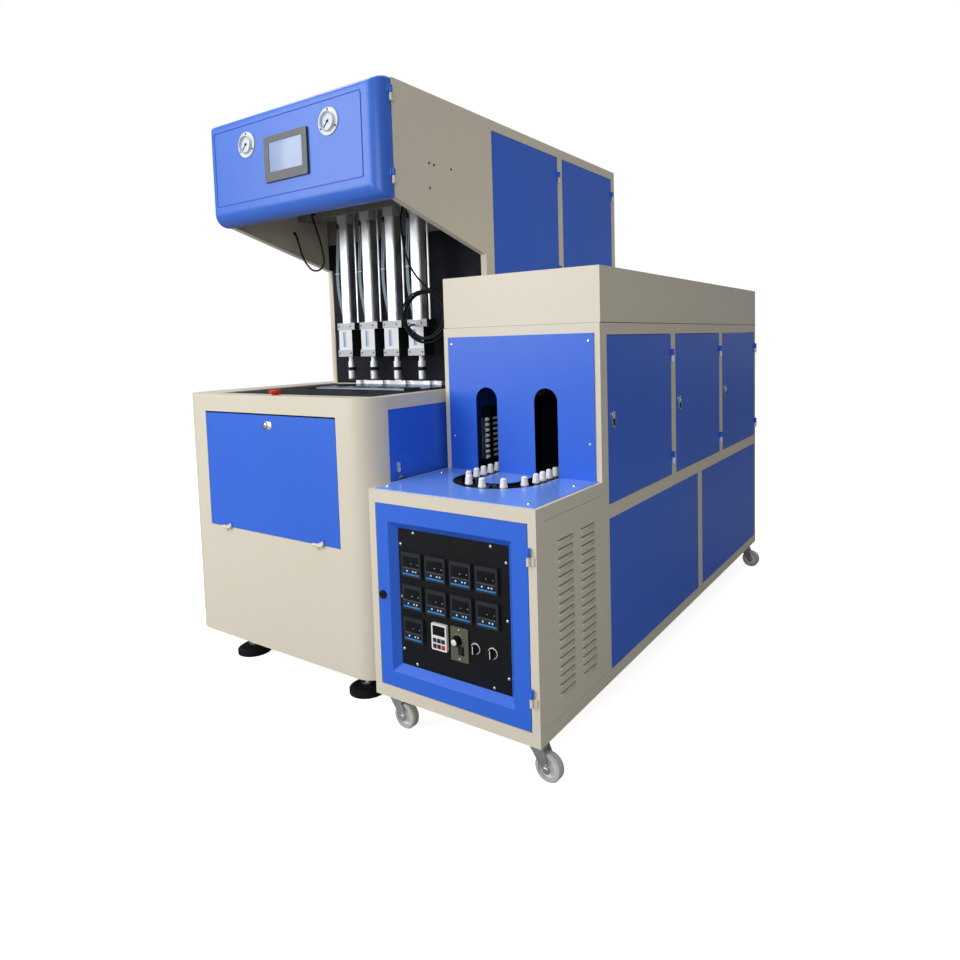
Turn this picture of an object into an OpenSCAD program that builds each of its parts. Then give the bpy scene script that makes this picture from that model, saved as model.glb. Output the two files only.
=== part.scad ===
// Four-cavity bottle blow moulding machine with its preform heater beside it.
// X runs along the fronts, Y runs to the back, Z is up and the floor is z = 0.

/* [Blow moulder] */
// Width of the lower cabinet
blower_w = 915; // [895:5:1000]
// Depth of the machine, front to back
blower_d = 1725; // [1650:5:1900]
// Height of the top of the head
blower_h = 1910; // [1890:5:2100]
// Height of the working table
table_h = 965; // [940:5:985]
// Clear height under the lower cabinet
under_h = 112; // [90:1:140]
// Radius of the cabinet's front corners
corner_r = 85; // [40:5:100]
// Sheet metal thickness of the casings
sheet_t = 3; // [2:0.5:5]
// How far the head stands in from the cabinet's left side
head_inset = 105; // [60:5:110]
// How far the head's side sheets stand behind the cabinet's front
head_set = 155; // [140:5:200]
// How far the rear column stands behind the cabinet's front
column_set = 628; // [610:5:700]
// Height of the head at its front
head_h = 350; // [340:5:380]
// Drop of the slanted lower edge from the front to the column
slant_drop = 130; // [60:5:160]
// Depth of the moulded head cover
cover_d = 60; // [45:5:70]

/* [Blow stations] */
// Distance between neighbouring bottle axes
pitch = 120; // [112:1:125]
// Distance of the bottle axes behind the cabinet's front
axis_set = 520; // [500:5:540]
// Height of the cylinders' beam above the head's lower edge
beam_rise = 61; // [40:1:80]
// Travel of the sealing nozzles
seal_travel = 40; // [20:1:42]
// Travel of the stretch rods
stretch_travel = 230; // [150:5:235]
// Travel of each mould half
mould_travel = 60; // [45:1:70]
// Height of the mould
mould_h = 260; // [240:5:280]
// Length of the mould along the row of bottles
mould_l = 440; // [430:5:460]
// Thickness of one mould half
mould_t = 90; // [60:5:100]
// Radius of the bottle's body
bottle_r = 33; // [25:1:40]

/* [Preform heater] */
// Width of the heater
heater_w = 555; // [530:5:600]
// Depth of the heater, front to back
heater_l = 2080; // [2060:10:2300]
// Height of the top of the hood
heater_h = 1325; // [1300:5:1335]
// Height of the hood itself
hood_h = 160; // [120:5:180]
// Height of the loading table
load_h = 710; // [690:5:740]
// Depth of the loading table
load_d = 375; // [365:5:395]
// Gap between the two units
unit_gap = 18; // [12:1:30]
// How far the cabinet front stands behind the heater front
front_set = 25; // [0:5:60]
// Overall height of a caster
caster_h = 108; // [105:1:115]
// Radius of a caster wheel
wheel_r = 37.5; // [30:0.5:38]
// Width of a caster wheel
wheel_w = 26; // [20:1:30]
// Distance from the swivel axis to the wheel axle
caster_trail = 32; // [25:1:36]
// Distance of the swivel axes from the heater's sides
caster_inset = 38; // [38:1:60]

/* [Doors] */
// Thickness of the folded doors
door_t = 18; // [14:1:24]
// Running gap round a door
door_gap = 2; // [1.2:0.1:3]
// Gap between parts that rest on each other
seat = 0.3; // [0.2:0.05:0.4]

/* [Preform chain] */
// Pitch of the chain
chain_p = 38.1; // [38:0.1:40]
// Radius of a preform holder's cap
holder_r = 10; // [8:0.5:11]
// Distance of the holders outside the chain line
holder_out = 45; // [43:1:47]
// Width of the slot that the holders travel in
slot_w = 80; // [70:1:84]
// Number of lamps above each other
lamp_rows = 8; // [6:1:8]

/* [Hidden] */
$fn = 48;

// Reach of latches, hinges and casters beyond the cabinets, for the origin
latch_out = 3;
knuckle_r = 5.5;
side_reach = caster_trail + wheel_r - caster_inset;
front_reach = 2 * knuckle_r;

// Heights of the head and of the cylinders' beam
head_low = blower_h - head_h;
slant_low = head_low - slant_drop;
beam_h = head_low + beam_rise;

// Blow moulder box, with the origin under the middle of the whole machine
bx0 = -(latch_out + blower_w + unit_gap + heater_w + side_reach) / 2 + latch_out;
bx1 = bx0 + blower_w;
hx0 = bx1 + unit_gap;
hx1 = hx0 + heater_w;
hy0 = -(heater_l + front_reach) / 2 + front_reach;
hy1 = hy0 + heater_l;
by0 = hy0 + front_set;
by1 = by0 + blower_d;

// Head and column
qx0 = bx0 + head_inset;
qx1 = bx1;
qc = (qx0 + qx1) / 2;
qy0 = by0 + head_set;
cy0 = by0 + column_set;
flange_w = 24;
axis_y = by0 + axis_set;

// Lower cabinet openings
front_door_w = blower_w - 2 * corner_r - 99;
front_door_z0 = 505;
front_door_h = 396;
cabinet_c = (bx0 + bx1) / 2;
side_cover_l = 600;
side_cover_z0 = 505;
side_cover_h = 420;
cover_gap = 0.8;
cover_in = 15;
skin = 2;
button_x = cabinet_c + 15;
button_y = by0 + 32;
button_r = 11;
button_travel = 5;
side_cover_y0 = by0 + corner_r + 3;
deck_x0 = bx0 + 145;
deck_x1 = bx1 - 40;
deck_y0 = by0 + 60;
deck_t = 4;
deck_z = table_h - sheet_t;
base_h = 60;
rail_w = 60;
foot_in_x = 168;
foot_in_y = 125;

// Gauges in the head cover
gauge_x = 199;
gauge_z = head_low + 246;

// Column doors
column_front = 54;
column_mid = 44;
column_end = 39;
column_door_l = (by1 - cy0 - column_front - column_mid - column_end) / 2;
column_door_y = [cy0 + column_front, cy0 + column_front + column_door_l + column_mid];
column_door_z0 = heater_h + 22;
column_door_z1 = blower_h - 38;

// Lift-off hinges
knuckle_h = 22;
pin_r = 3;
pin_gap = 0.08;
leaf_t = 4;
hinge_set = 6;
head_hinge_z = [head_low + 60, blower_h - 50];
front_hinge_x = [cabinet_c - 230, cabinet_c + 230];
front_hinge_z = front_door_z0 - cover_gap / 2;

// Mould station, at rest with the mould open
mould_z0 = table_h - mould_h;
platen_t = 30;
platen_w = mould_l + 60;
platen_z0 = mould_z0 - 10;
platen_z1 = table_h - 22;
bar_r = 15;
bar_x = mould_l / 2 + 52;
bar_z = [mould_z0 + 35, table_h - 62];
end_t = 25;
piston_rod_r = 18;
end_out = mould_travel + mould_t + platen_t + 30;
neck_r = 16;
bar_d = 24;
mould_gap = 0.15;

// Cylinders, nozzles and stretch rods, heights downwards from the beam
cap_h = 30;
tube_w = 44;
bore_r = 17;
block_z0 = table_h + 112;
block_z1 = block_z0 + 130;
block_w = 76;
block_d = 60;
shaft_r = 10;
slide_gap = 0.3;
rod_r = 5;
nozzle_z0 = table_h + 22;
nozzle_r = 13.5;
rod_tip_z = nozzle_z0 + 4;

// Heater frame, from the front: posts and rails
post_w = 24;
post_d = 44;
step_y = hy0 + load_d;
rail_h = 36;
belt_z0 = load_h - 115;
belt_z1 = load_h - 73;
seam_z = heater_h - hood_h;
side_z1 = seam_z - 35;
mid_post = 48;
first_post = 42;
end_post = 25;
panel_t = 2;
side_door_l = (heater_l - load_d - first_post - 2 * mid_post - end_post) / 3;
low_post_y = hy0 + 1213;
low_post_w = 49;
door_y = [for (i = [0:2]) step_y + first_post + i * (side_door_l + mid_post)];

// Control door and its panel
control_w = heater_w - 2 * post_w - 2 * door_gap;
control_x0 = hx0 + post_w + door_gap;
control_z0 = caster_h + 38;
control_z1 = load_h - 37;
control_t = 25;
control_hinge_z = [control_z0 + 90, control_z1 - 80];
recess_d = control_t - skin;
lock_in = 17;
lock_z = (control_z0 + control_z1) / 2;
pan_x0 = hx0 + 89;
pan_x1 = hx0 + 462;
pan_z0 = control_z0 + 64;
pan_z1 = control_z1 - 69;
pan_t = 3;
pan_y = hy0 + recess_d - pan_t;
meter_w = 70;
meter_px = 85;
meter_pz = 93;
meter_x = hx0 + 139;
meter_z = load_h - 205;
speed_x = hx0 + 298;
speed_z = load_h - 398;
knob_x = hx0 + 292;
knob_z = load_h - 388;
switch_x = [hx0 + 351, hx0 + 406];
switch_z = load_h - 397;

// Vent panel
vent_y0 = hy0 + post_d + seat;
vent_y1 = step_y - 4 - seat;
vent_z0 = caster_h + rail_h + 1;
vent_z1 = load_h - rail_h - 1;
louvre_n = 25;
louvre_p = 16.5;
louvre_w = 106;

// Preform path
teeth = 10;
chain_r = chain_p / (2 * sin(180 / teeth));
link_r = 9;
link_t = 4;
link_gap = 0.2;
link_pin_r = 4;
roller_r = 6;
roller_h = 7;
path_set = 285;
turn_room = 345;
run_links = floor((heater_l - path_set - turn_room) / chain_p);
path_c = hx0 + 270;
path_y0 = hy0 + path_set;
run_l = run_links * chain_p;
path_y1 = path_y0 + run_l;
holder_path_r = chain_r + holder_out;
lamp_x = holder_path_r + 52;
lamp_r = 4.5;
lamp_y0 = step_y + 60;
lamp_y1 = path_y1 - 18;
lamp_p = (lamp_y1 - lamp_y0 - 40) / 2;
lamp_l = lamp_p - 60;
deck2_z = load_h - 4;
chain_z = load_h - 40;
arch_w = slot_w;
arch_h = 265;
bed_z = belt_z0 + 35;
bed_w = 80;
shaft_d = 28;

// Cord routes, round numbers measured from the bay's left front corner on the table
cable_r = 3.5;
route_h = 656;
loop_pts = [[100, 320, 676], [103, 306, 672], [118, 300, 640], [150, 298, 560], [168, 298, 490],
    [160, 298, 458], [125, 300, 450], [85, 300, 462], [45, 300, 510], [22, 300, 570], [12, 300, 600],
    [3, 300, 606]];
drop_pts = [[600, 320, 676], [600, 304, 674], [596, 284, 650], [592, 270, 600], [596, 268, 540],
    [604, 272, 480], [616, 280, 430], [636, 288, 392], [656, 294, 368], [666, 296, 356], [668, 296, 347.3]];
coil_c = [668, 296, 250];
coil_r = 86;
coil_rr = 11;
coil_turn = 12;
tail_pts = [[587, 292, 220], [584, 304, 219], [582, 320, 221], [582, 334.7, 223]];
hose_tie = block_z1 + 0.466 * (beam_h - block_z1);
hose_swing = 0.24 * (beam_h - block_z1);
hose_r = 3;

// A box between two corner points
module span(a, b) {
    translate(a) cube(b - a);
}

// A rectangle with round corners of radius r, from exact shapes
module round_rect(w, h, r) {
    translate([r, 0]) square([w - 2 * r, h]);
    translate([0, r]) square([w, h - 2 * r]);
    for (x = [r, w - r], y = [r, h - r]) translate([x, y]) circle(r);
}

// A plate standing across Y with round corners
module face_plate(x, y, z, w, t, h, r) {
    translate([x, y + t, z]) rotate([90, 0, 0]) linear_extrude(t) round_rect(w, h, r);
}

// A plate standing across X with round corners
module side_plate(x, y, z, t, l, h, r) {
    translate([x, y, z]) rotate([90, 0, 90]) linear_extrude(t) round_rect(l, h, r);
}

// Plan outline of the lower cabinet, taken in by inset on every side
module cabinet_outline(inset) {
    w = blower_w - 2 * inset;
    r = corner_r - inset;
    translate([bx0 + inset, by0 + inset]) {
        translate([r, 0]) square([w - 2 * r, blower_d - 2 * inset]);
        translate([0, r]) square([w, blower_d - 2 * inset - r]);
        for (x = [r, w - r]) translate([x, r]) circle(r, $fn = 96);
    }
}

// Fixed lower half of a lift-off hinge, with its pin
module hinge_lower() {
    translate([0, 0, -knuckle_h]) cylinder(r = knuckle_r, h = knuckle_h - seat);
    cylinder(r = pin_r, h = knuckle_h - 2);
    translate([0, 0, -1]) cylinder(r = pin_r, h = 2);
}

// Moving upper half of a lift-off hinge
module hinge_upper() {
    difference() {
        cylinder(r = knuckle_r, h = knuckle_h);
        translate([0, 0, -1]) cylinder(r = pin_r + pin_gap, h = knuckle_h);
    }
}

// Lower hinge half on a side sheet at x, with its leaf behind the knuckle
module side_hinge_lower(x, y, z) {
    translate([x + knuckle_r, y, z]) {
        hinge_lower();
        translate([-knuckle_r - 0.5, 0, -knuckle_h]) cube([leaf_t + 0.5, 14, knuckle_h - seat]);
    }
}

// Upper hinge half on a side door that stands 1 mm proud of the sheet at x
module side_hinge_upper(x, y, z) {
    translate([x + knuckle_r, y, z]) {
        hinge_upper();
        translate([-knuckle_r + 0.5, -18, 0]) cube([3, 14.5, knuckle_h]);
    }
}

// Folded tray across X with its skin at x on side s, open behind
module side_tray(x, s, y, z, t, l, h) {
    difference() {
        side_plate(s > 0 ? x - t : x, y, z, t, l, h, 3);
        side_plate(s > 0 ? x - t - skin : x + skin, y + skin, z + skin, t, l - 2 * skin, h - 2 * skin, 2);
    }
}

// Puts children on the front side of the bottle row, or mirrored on its rear side
module at_side(s) {
    if (s < 0) translate([0, axis_y, 0]) children();
    if (s > 0) translate([0, axis_y, 0]) mirror([0, 1, 0]) children();
}

// Lower cabinet of the blow moulder: folded casing with a rim round the deck
module blower_casing() {
    door_x0 = cabinet_c - front_door_w / 2 - door_gap;
    door_x1 = cabinet_c + front_door_w / 2 + door_gap;
    color("#d6cfbd") difference() {
        translate([0, 0, under_h]) linear_extrude(table_h - under_h) cabinet_outline(0);
        translate([0, 0, under_h - 1]) linear_extrude(deck_z - under_h + 1) cabinet_outline(sheet_t);
        span([deck_x0, deck_y0, table_h - 10], [deck_x1, cy0 - 20, table_h + 1]);
        span([qc - mould_l / 2 - 3, cy0 - 21, table_h - 10],
            [qc + mould_l / 2 + 3, axis_y + mould_travel + mould_t + 3, table_h + 1]);
        span([door_x0, by0 - 1, front_door_z0 - cover_gap],
            [door_x1, by0 + 10, front_door_z0 + front_door_h + 5]);
        span([bx0 - 1, side_cover_y0, side_cover_z0],
            [bx1 + 1, side_cover_y0 + side_cover_l, side_cover_z0 + side_cover_h]);
        translate([button_x, button_y, table_h - 10]) cylinder(r = button_r + slide_gap, h = 20);
    }
    color("#d6cfbd") for (x = front_hinge_x) translate([x, by0 - knuckle_r, front_hinge_z]) {
        rotate([0, 90, 0]) hinge_lower();
        translate([-knuckle_h, knuckle_r - leaf_t, -14]) cube([knuckle_h - seat, leaf_t, 14]);
    }
}

// Welded base frame inside the lower cabinet
module blower_base() {
    z0 = under_h + 2;
    z1 = under_h + base_h;
    cross_y = [by0 + foot_in_y, axis_y - end_out - end_t / 2, axis_y + end_out + end_t / 2, by1 - foot_in_y];
    color("#8f8d86") {
        for (y = cross_y)
            span([bx0 + sheet_t, y - rail_w / 2, z0], [bx1 - sheet_t, y + rail_w / 2, z1]);
        for (x = [bx0 + foot_in_x, bx1 - foot_in_x])
            span([x - rail_w / 2, by0 + sheet_t, z0], [x + rail_w / 2, by1 - sheet_t, z1]);
    }
}

// Four levelling feet with their stems and nuts
module levelling_feet() {
    color("#1c1c1e") for (x = [bx0 + foot_in_x, bx1 - foot_in_x], y = [by0 + foot_in_y, by1 - foot_in_y])
        translate([x, y, 0]) {
            rotate_extrude() polygon([[0, 0], [60, 0], [60, 14], [48, 22], [20, 26], [20, 34], [0, 34]]);
            cylinder(r = 8, h = under_h + 2);
            translate([0, 0, under_h - 14]) cylinder(r = 15, h = 14, $fn = 6);
        }
}

// Dark deck round the mould opening
module bay_deck() {
    open_x = platen_w / 2 + 3;
    open_y = mould_travel + mould_t + platen_t + 3;
    color("#15171b") difference() {
        span([deck_x0 - 15, deck_y0 - 15, deck_z - deck_t], [deck_x1 + 15, cy0 - 4, deck_z]);
        span([qc - open_x, axis_y - open_y, deck_z - 20], [qc + open_x, axis_y + open_y, deck_z + 1]);
    }
}

// Front door of the lower cabinet, a folded tray with two hinges below its bottom edge
module front_door() {
    x0 = cabinet_c - front_door_w / 2;
    latch_z = front_door_z0 + front_door_h - 33;
    color("#2f62cf") difference() {
        face_plate(x0, by0, front_door_z0, front_door_w, door_t, front_door_h, 4);
        face_plate(x0 + skin, by0 + skin, front_door_z0 + skin, front_door_w - 2 * skin, door_t,
            front_door_h - 2 * skin, 3);
    }
    color("#2f62cf") for (x = front_hinge_x) translate([x, by0 - knuckle_r, front_hinge_z]) {
        rotate([0, 90, 0]) hinge_upper();
        translate([0, knuckle_r - 4.5, 3.5]) cube([knuckle_h, 5, 13]);
    }
    color("#c9ccd0") translate([cabinet_c, by0 + 14, latch_z]) rotate([90, 0, 0]) {
        cylinder(r = 8, h = 14);
        translate([0, 0, 12]) cylinder(r = 12, h = 5);
    }
}

// Two lift-off covers at the sides of the lower cabinet, with quarter-turn latches
module side_covers() {
    y = side_cover_y0 + cover_gap;
    z = side_cover_z0 + cover_gap;
    for (s = [-1, 1]) {
        color("#2450a8") side_tray(s > 0 ? bx1 - 1 : bx0 + 1, s, y, z, cover_in,
            side_cover_l - 2 * cover_gap, side_cover_h - 2 * cover_gap);
        color("#c9ccd0") translate([s > 0 ? bx1 - 5 : bx0 - latch_out, y + 44, z + 204])
            rotate([0, 90, 0]) cylinder(r = 11, h = 5 + latch_out);
    }
}

// Low mushroom button on the table rim, its shaft through the sheet
module stop_button() {
    color("#c8201c") translate([button_x, button_y, table_h]) {
        translate([0, 0, button_travel + 1])
            rotate_extrude() polygon([[0, 0], [16, 0], [20, 3], [20, 8], [16, 11], [0, 12]]);
        translate([0, 0, -12]) cylinder(r = button_r, h = 20);
    }
}

// Profile of the head and column side sheets, in Y and Z
head_profile = [[qy0, head_low], [qy0, blower_h], [by1, blower_h], [by1, table_h], [cy0, table_h],
    [cy0, slant_low]];

// Slope and length of the slanted lower edge
slant_a = atan2(slant_low - head_low, cy0 - qy0);
slant_l = norm([cy0 - qy0, slant_low - head_low]);

// Sheet metal head and rear column of the blow moulder
module head_casing() {
    color("#cfc8b6") difference() {
        union() {
            for (x = [qx0, qx1 - sheet_t])
                translate([x, 0, 0]) rotate([90, 0, 90]) linear_extrude(sheet_t) polygon(head_profile);
            span([qx0, qy0, blower_h - sheet_t], [qx1, by1, blower_h]);
            span([qx0, by1 - sheet_t, table_h], [qx1, by1, blower_h]);
            for (x = [qx0, qx1 - flange_w]) {
                span([x, cy0, table_h], [x + flange_w, cy0 + sheet_t, slant_low + 4]);
                translate([x, qy0, head_low]) rotate([slant_a, 0, 0]) cube([flange_w, slant_l, sheet_t]);
            }
            span([qx0, qy0, blower_h - 40], [qx1, qy0 + sheet_t, blower_h]);
            span([qx0, qy0, head_low + 1], [qx1, qy0 + sheet_t, head_low + 30]);
        }
        for (y = column_door_y) {
            span([qx1 - 10, y - door_gap, column_door_z0 - door_gap],
                [qx1 + 1, y + column_door_l + door_gap, column_door_z1 + door_gap]);
            span([qx0 - 1, y, column_door_z0], [qx0 + 10, y + column_door_l, column_door_z1]);
        }
    }
    color("#cfc8b6") for (z = head_hinge_z) translate([qx1 + knuckle_r, qy0 - 8, z]) {
        hinge_lower();
        translate([-knuckle_r - 0.5, 0, -knuckle_h]) cube([leaf_t + 0.5, 16, knuckle_h - seat]);
    }
    color("#cfc8b6") for (y = column_door_y, z = [column_door_z0 + 60, column_door_z1 - 80])
        side_hinge_lower(qx1, y + column_door_l + hinge_set, z);
}

// Wall behind the blow stations
module bay_wall() {
    color("#1e2530") span([qx0 + sheet_t, cy0 + sheet_t, table_h + slide_gap],
        [qx1 - sheet_t, cy0 + 2 * sheet_t, blower_h - sheet_t]);
}

// Moulded front cover of the head, hollow behind, with its hinge knuckles
module head_cover() {
    w = qx1 - qx0;
    h = blower_h - head_low + 5;
    z0 = head_low - 5;
    y0 = qy0 - cover_d;
    in = 52;
    wall = 4;
    color("#2a5bc4") difference() {
        hull() {
            face_plate(qx0, qy0 - 25, z0, w, 24, h, 12, $fn = 24);
            face_plate(qx0 + 14, y0 + 12, z0 + 14, w - 28, 10, h - 28, 20, $fn = 24);
            face_plate(qx0 + in, y0, z0 + in, w - 2 * in, 5, h - 2 * in, 8, $fn = 24);
        }
        hull() {
            face_plate(qx0 + wall, qy0 - 25, z0 + wall, w - 2 * wall, 30, h - 2 * wall, 10, $fn = 24);
            face_plate(qx0 + in + 2, y0 + wall, z0 + in + 2, w - 2 * in - 4, 5, h - 2 * in - 4, 8, $fn = 24);
        }
        span([qc - 96, y0 - 5, head_low + 112], [qc + 96, y0 + 10, head_low + 242]);
        for (s = [-1, 1]) translate([qc + s * gauge_x, y0 + 10, gauge_z])
            rotate([90, 0, 0]) cylinder(r = 31, h = 20);
        for (z = head_hinge_z)
            translate([qx1 - 6, qy0 - 14, z - knuckle_h - 4]) cube([20, 30, 2 * knuckle_h + 8]);
    }
    color("#2a5bc4") for (z = head_hinge_z) translate([qx1 + knuckle_r, qy0 - 8, z]) {
        hinge_upper();
        translate([-knuckle_r - 8, -11, 0]) cube([12, 7, knuckle_h]);
    }
}

// Operator's touch screen with its body behind the cover
module touch_screen() {
    y0 = qy0 - cover_d;
    color("#2b2d31") difference() {
        union() {
            face_plate(qc - 104, y0 - 7, head_low + 104, 208, 7, 146, 5);
            span([qc - 94, y0 - 1, head_low + 114], [qc + 94, y0 + 40, head_low + 240]);
        }
        span([qc - 80, y0 - 8, head_low + 134], [qc + 80, y0 - 5.5, head_low + 230]);
    }
}

// Two pressure gauges, each a flanged round case
module gauge_housings() {
    color("#d9dcdf") for (s = [-1, 1])
        translate([qc + s * gauge_x, qy0 - cover_d, gauge_z]) rotate([90, 0, 0]) difference() {
            union() {
                cylinder(r = 42, h = 3);
                translate([0, 0, -28]) cylinder(r = 30, h = 38);
            }
            translate([0, 0, 4]) cylinder(r = 27, h = 10);
            for (a = [90, 210, 330]) rotate(a) translate([36, 0, -1]) cylinder(r = 2.2, h = 5);
        }
}

// Needle of a pressure gauge on its spindle
module needle(s) {
    color("#1a1a1a") translate([qc + s * gauge_x, qy0 - cover_d - 4 - seat, gauge_z]) rotate([90, -225, 0]) {
        cylinder(r = 3.5, h = 3);
        translate([-7, -1, 1]) cube([30, 2, 1.2]);
    }
}

// Folded door in a column side, hinged at its rear edge
module column_door(i) {
    y = column_door_y[i];
    color("#2a5bc4") {
        side_tray(qx1 + 1, 1, y, column_door_z0, door_t, column_door_l, column_door_z1 - column_door_z0);
        for (z = [column_door_z0 + 60, column_door_z1 - 80])
            side_hinge_upper(qx1, y + column_door_l + hinge_set, z);
    }
}

// Two fixed covers in the column's left side
module column_left_covers() {
    color("#2a5bc4") for (y = column_door_y)
        side_tray(qx0 - 1, -1, y + cover_gap, column_door_z0 + cover_gap, cover_in,
            column_door_l - 2 * cover_gap, column_door_z1 - column_door_z0 - 2 * cover_gap);
}

// Crossbeam under the head's top that carries the cylinders
module cylinder_beam() {
    color("#9a9d9f") difference() {
        span([qx0 + sheet_t, axis_y - 45, beam_h], [qx1 - sheet_t, axis_y + 45, beam_h + 40]);
        span([qx0 + 30, axis_y - 39, beam_h + 6], [qx1 - 30, axis_y + 39, beam_h + 41]);
    }
}

// Places children at each blow station
module stations() {
    for (i = [0:3]) translate([qc + (i - 1.5) * pitch, axis_y, 0]) children();
}

// Stretch cylinders on their sealing cylinders, with the bright guide rods
module blow_cylinders() {
    tube_z = beam_h - cap_h;
    color("#e4e6e8") stations() {
        difference() {
            union() {
                translate([-tube_w / 2, -tube_w / 2, block_z1 - 1])
                    linear_extrude(tube_z - block_z1 + 2) round_rect(tube_w, tube_w, 8);
                translate([-tube_w / 2 - 2, -tube_w / 2 - 2, tube_z]) cube([tube_w + 4, tube_w + 4, cap_h]);
                translate([-block_w / 2, -block_d / 2, block_z0]) cube([block_w, block_d, 26]);
                translate([-block_w / 2 + 3, -block_d / 2 + 3, block_z0 + 25])
                    cube([block_w - 6, block_d - 6, block_z1 - block_z0 - 50]);
                translate([-block_w / 2, -block_d / 2, block_z1 - 26]) cube([block_w + 16, block_d, 26]);
            }
            translate([0, 0, block_z1]) cylinder(r = bore_r, h = tube_z - block_z1);
            translate([0, 0, block_z0 - 1]) cylinder(r = shaft_r + slide_gap, h = block_z1 - block_z0 + 2);
        }
        translate([block_w / 2 + 8, 0, block_z1 - 1]) cylinder(r = 4, h = beam_h - block_z1 + 1);
    }
}

// Sealing nozzles: shaft, collar, black sealing disc and mouth
module blow_nozzles() {
    z = nozzle_z0;
    profile = [[0, z], [nozzle_r - 3, z], [nozzle_r, z + 4], [nozzle_r, z + 36], [18.5, z + 36],
        [18.5, z + 47], [nozzle_r, z + 49], [nozzle_r, z + 70], [0, z + 70]];
    color("#c4c7ca") stations() difference() {
        union() {
            translate([0, 0, block_z0 - 30]) cylinder(r = shaft_r, h = 110);
            rotate_extrude() polygon(profile);
        }
        translate([0, 0, z - 1]) cylinder(r = rod_r + slide_gap, h = block_z1 - z);
    }
}

// Stretch rods with their pistons
module stretch_rods() {
    color("#b9bcc0") stations() {
        translate([0, 0, rod_tip_z]) cylinder(r = rod_r, h = beam_h - cap_h - rod_tip_z - 32);
        translate([0, 0, beam_h - cap_h - 40]) cylinder(r = bore_r - slide_gap, h = 24);
        translate([0, 0, rod_tip_z]) sphere(r = rod_r, $fn = 24);
    }
}

// Half of the four bottle cavities, revolved about the bottle axes
module bottle_cavities() {
    b = mould_z0;
    r = bottle_r;
    profile = [[0, b + 32], [r - 8, b + 26], [r, b + 34], [r, b + 150], [r - 3, b + 160], [r, b + 170],
        [r - 4, b + 190], [neck_r - 2, table_h - 28], [neck_r, table_h - 24], [neck_r, table_h + 1],
        [0, table_h + 1]];
    for (i = [0:3]) translate([qc + (i - 1.5) * pitch, 0, 0]) rotate_extrude() polygon(profile);
}

// Mould half; s is -1 for the front one and 1 for the rear one
module mould_half(s) {
    y = -mould_travel;
    color("#8d99a6") at_side(s) difference() {
        span([qc - mould_l / 2, y - mould_t, mould_z0], [qc + mould_l / 2, y - mould_gap, table_h]);
        translate([0, y, 0]) bottle_cavities();
        for (x = [-1, 1]) translate([qc + x * (mould_l / 2 - 14), y, mould_z0 + 30])
            rotate([90, 0, 0]) cylinder(r = 6, h = 40, center = true);
    }
}

// Platen that slides on the tie bars, with its piston rod
module platen(s) {
    y1 = -mould_travel - mould_t;
    y0 = y1 - platen_t;
    ear_x = platen_w / 2 - 5;
    color("#6f747a") at_side(s) difference() {
        union() {
            span([qc - platen_w / 2, y0, platen_z0], [qc + platen_w / 2, y1, platen_z1]);
            for (z = bar_z) span([qc - bar_x, y0, z - 20], [qc - ear_x, y1, z + 20]);
            for (z = bar_z) span([qc + ear_x, y0, z - 20], [qc + bar_x, y1, z + 20]);
            for (x = [-1, 1], z = bar_z)
                translate([qc + x * bar_x, y1, z]) rotate([90, 0, 0]) cylinder(r = bar_r + 9, h = platen_t);
        }
        for (x = [-1, 1], z = bar_z)
            translate([qc + x * bar_x, y1 + 10, z]) rotate([90, 0, 0]) cylinder(r = bar_r + slide_gap, h = 60);
    }
    color("#c4c7ca") at_side(s) translate([qc, y0 + 0.5, (platen_z0 + platen_z1) / 2])
        rotate([90, 0, 0]) cylinder(r = piston_rod_r, h = 30 + end_t + 70);
}

// Fixed end plates and tie bars of the clamp
module clamp_frame() {
    z0 = under_h + base_h;
    half_w = platen_w / 2 + 50;
    color("#767b80") difference() {
        for (s = [-1, 1]) at_side(s)
            span([qc - half_w, -end_out - end_t, z0], [qc + half_w, -end_out, deck_z - deck_t]);
        for (s = [-1, 1]) at_side(s) translate([qc, -end_out + 10, (platen_z0 + platen_z1) / 2])
            rotate([90, 0, 0]) cylinder(r = piston_rod_r + slide_gap, h = end_t + 20);
        span([qc - 180, axis_y - 500, z0 + 80], [qc + 180, axis_y + 500, mould_z0 - 120]);
    }
    color("#b9bcc0") for (x = [-1, 1], z = bar_z) translate([qc + x * bar_x, axis_y + end_out + 1, z])
        rotate([90, 0, 0]) cylinder(r = bar_r, h = 2 * end_out + 2);
}

// Clamp cylinders outside the end plates
module clamp_cylinders() {
    color("#b0b4b8") for (s = [-1, 1]) at_side(s)
        translate([qc, -end_out - end_t, (platen_z0 + platen_z1) / 2]) rotate([90, 0, 0]) difference() {
            union() {
                cylinder(r = 58, h = 130);
                translate([-62, -62, 0]) cube([124, 124, 22]);
                translate([-62, -62, 112]) cube([124, 124, 22]);
            }
            translate([0, 0, -1]) cylinder(r = 45, h = 120);
        }
}

// Polished bar on the rear mould half, notched for the necks
module neck_bar() {
    y = -mould_travel - mould_gap;
    color("#d4d7da") translate([0, 0, table_h]) at_side(1) difference() {
        union() {
            span([qc - mould_l / 2, y - bar_d, 0], [qc + mould_l / 2, y, 14]);
            span([qc - 14, y - bar_d + 4, 13], [qc + 14, y - 6, 25]);
        }
        for (i = [0:3]) translate([qc + (i - 1.5) * pitch, y, -1]) cylinder(r = neck_r, h = 30);
    }
}

// Ring of n points round a path point p, square to the direction d
function ring_at(p, d, r, n) = let (
        u = d / norm(d),
        a = abs(u[2]) < 0.9 ? [0, 0, 1] : [1, 0, 0],
        v = cross(u, a) / norm(cross(u, a)),
        w = cross(u, v))
    [for (i = [0:n - 1]) p + r * (v * cos(360 * i / n) + w * sin(360 * i / n))];

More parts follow.
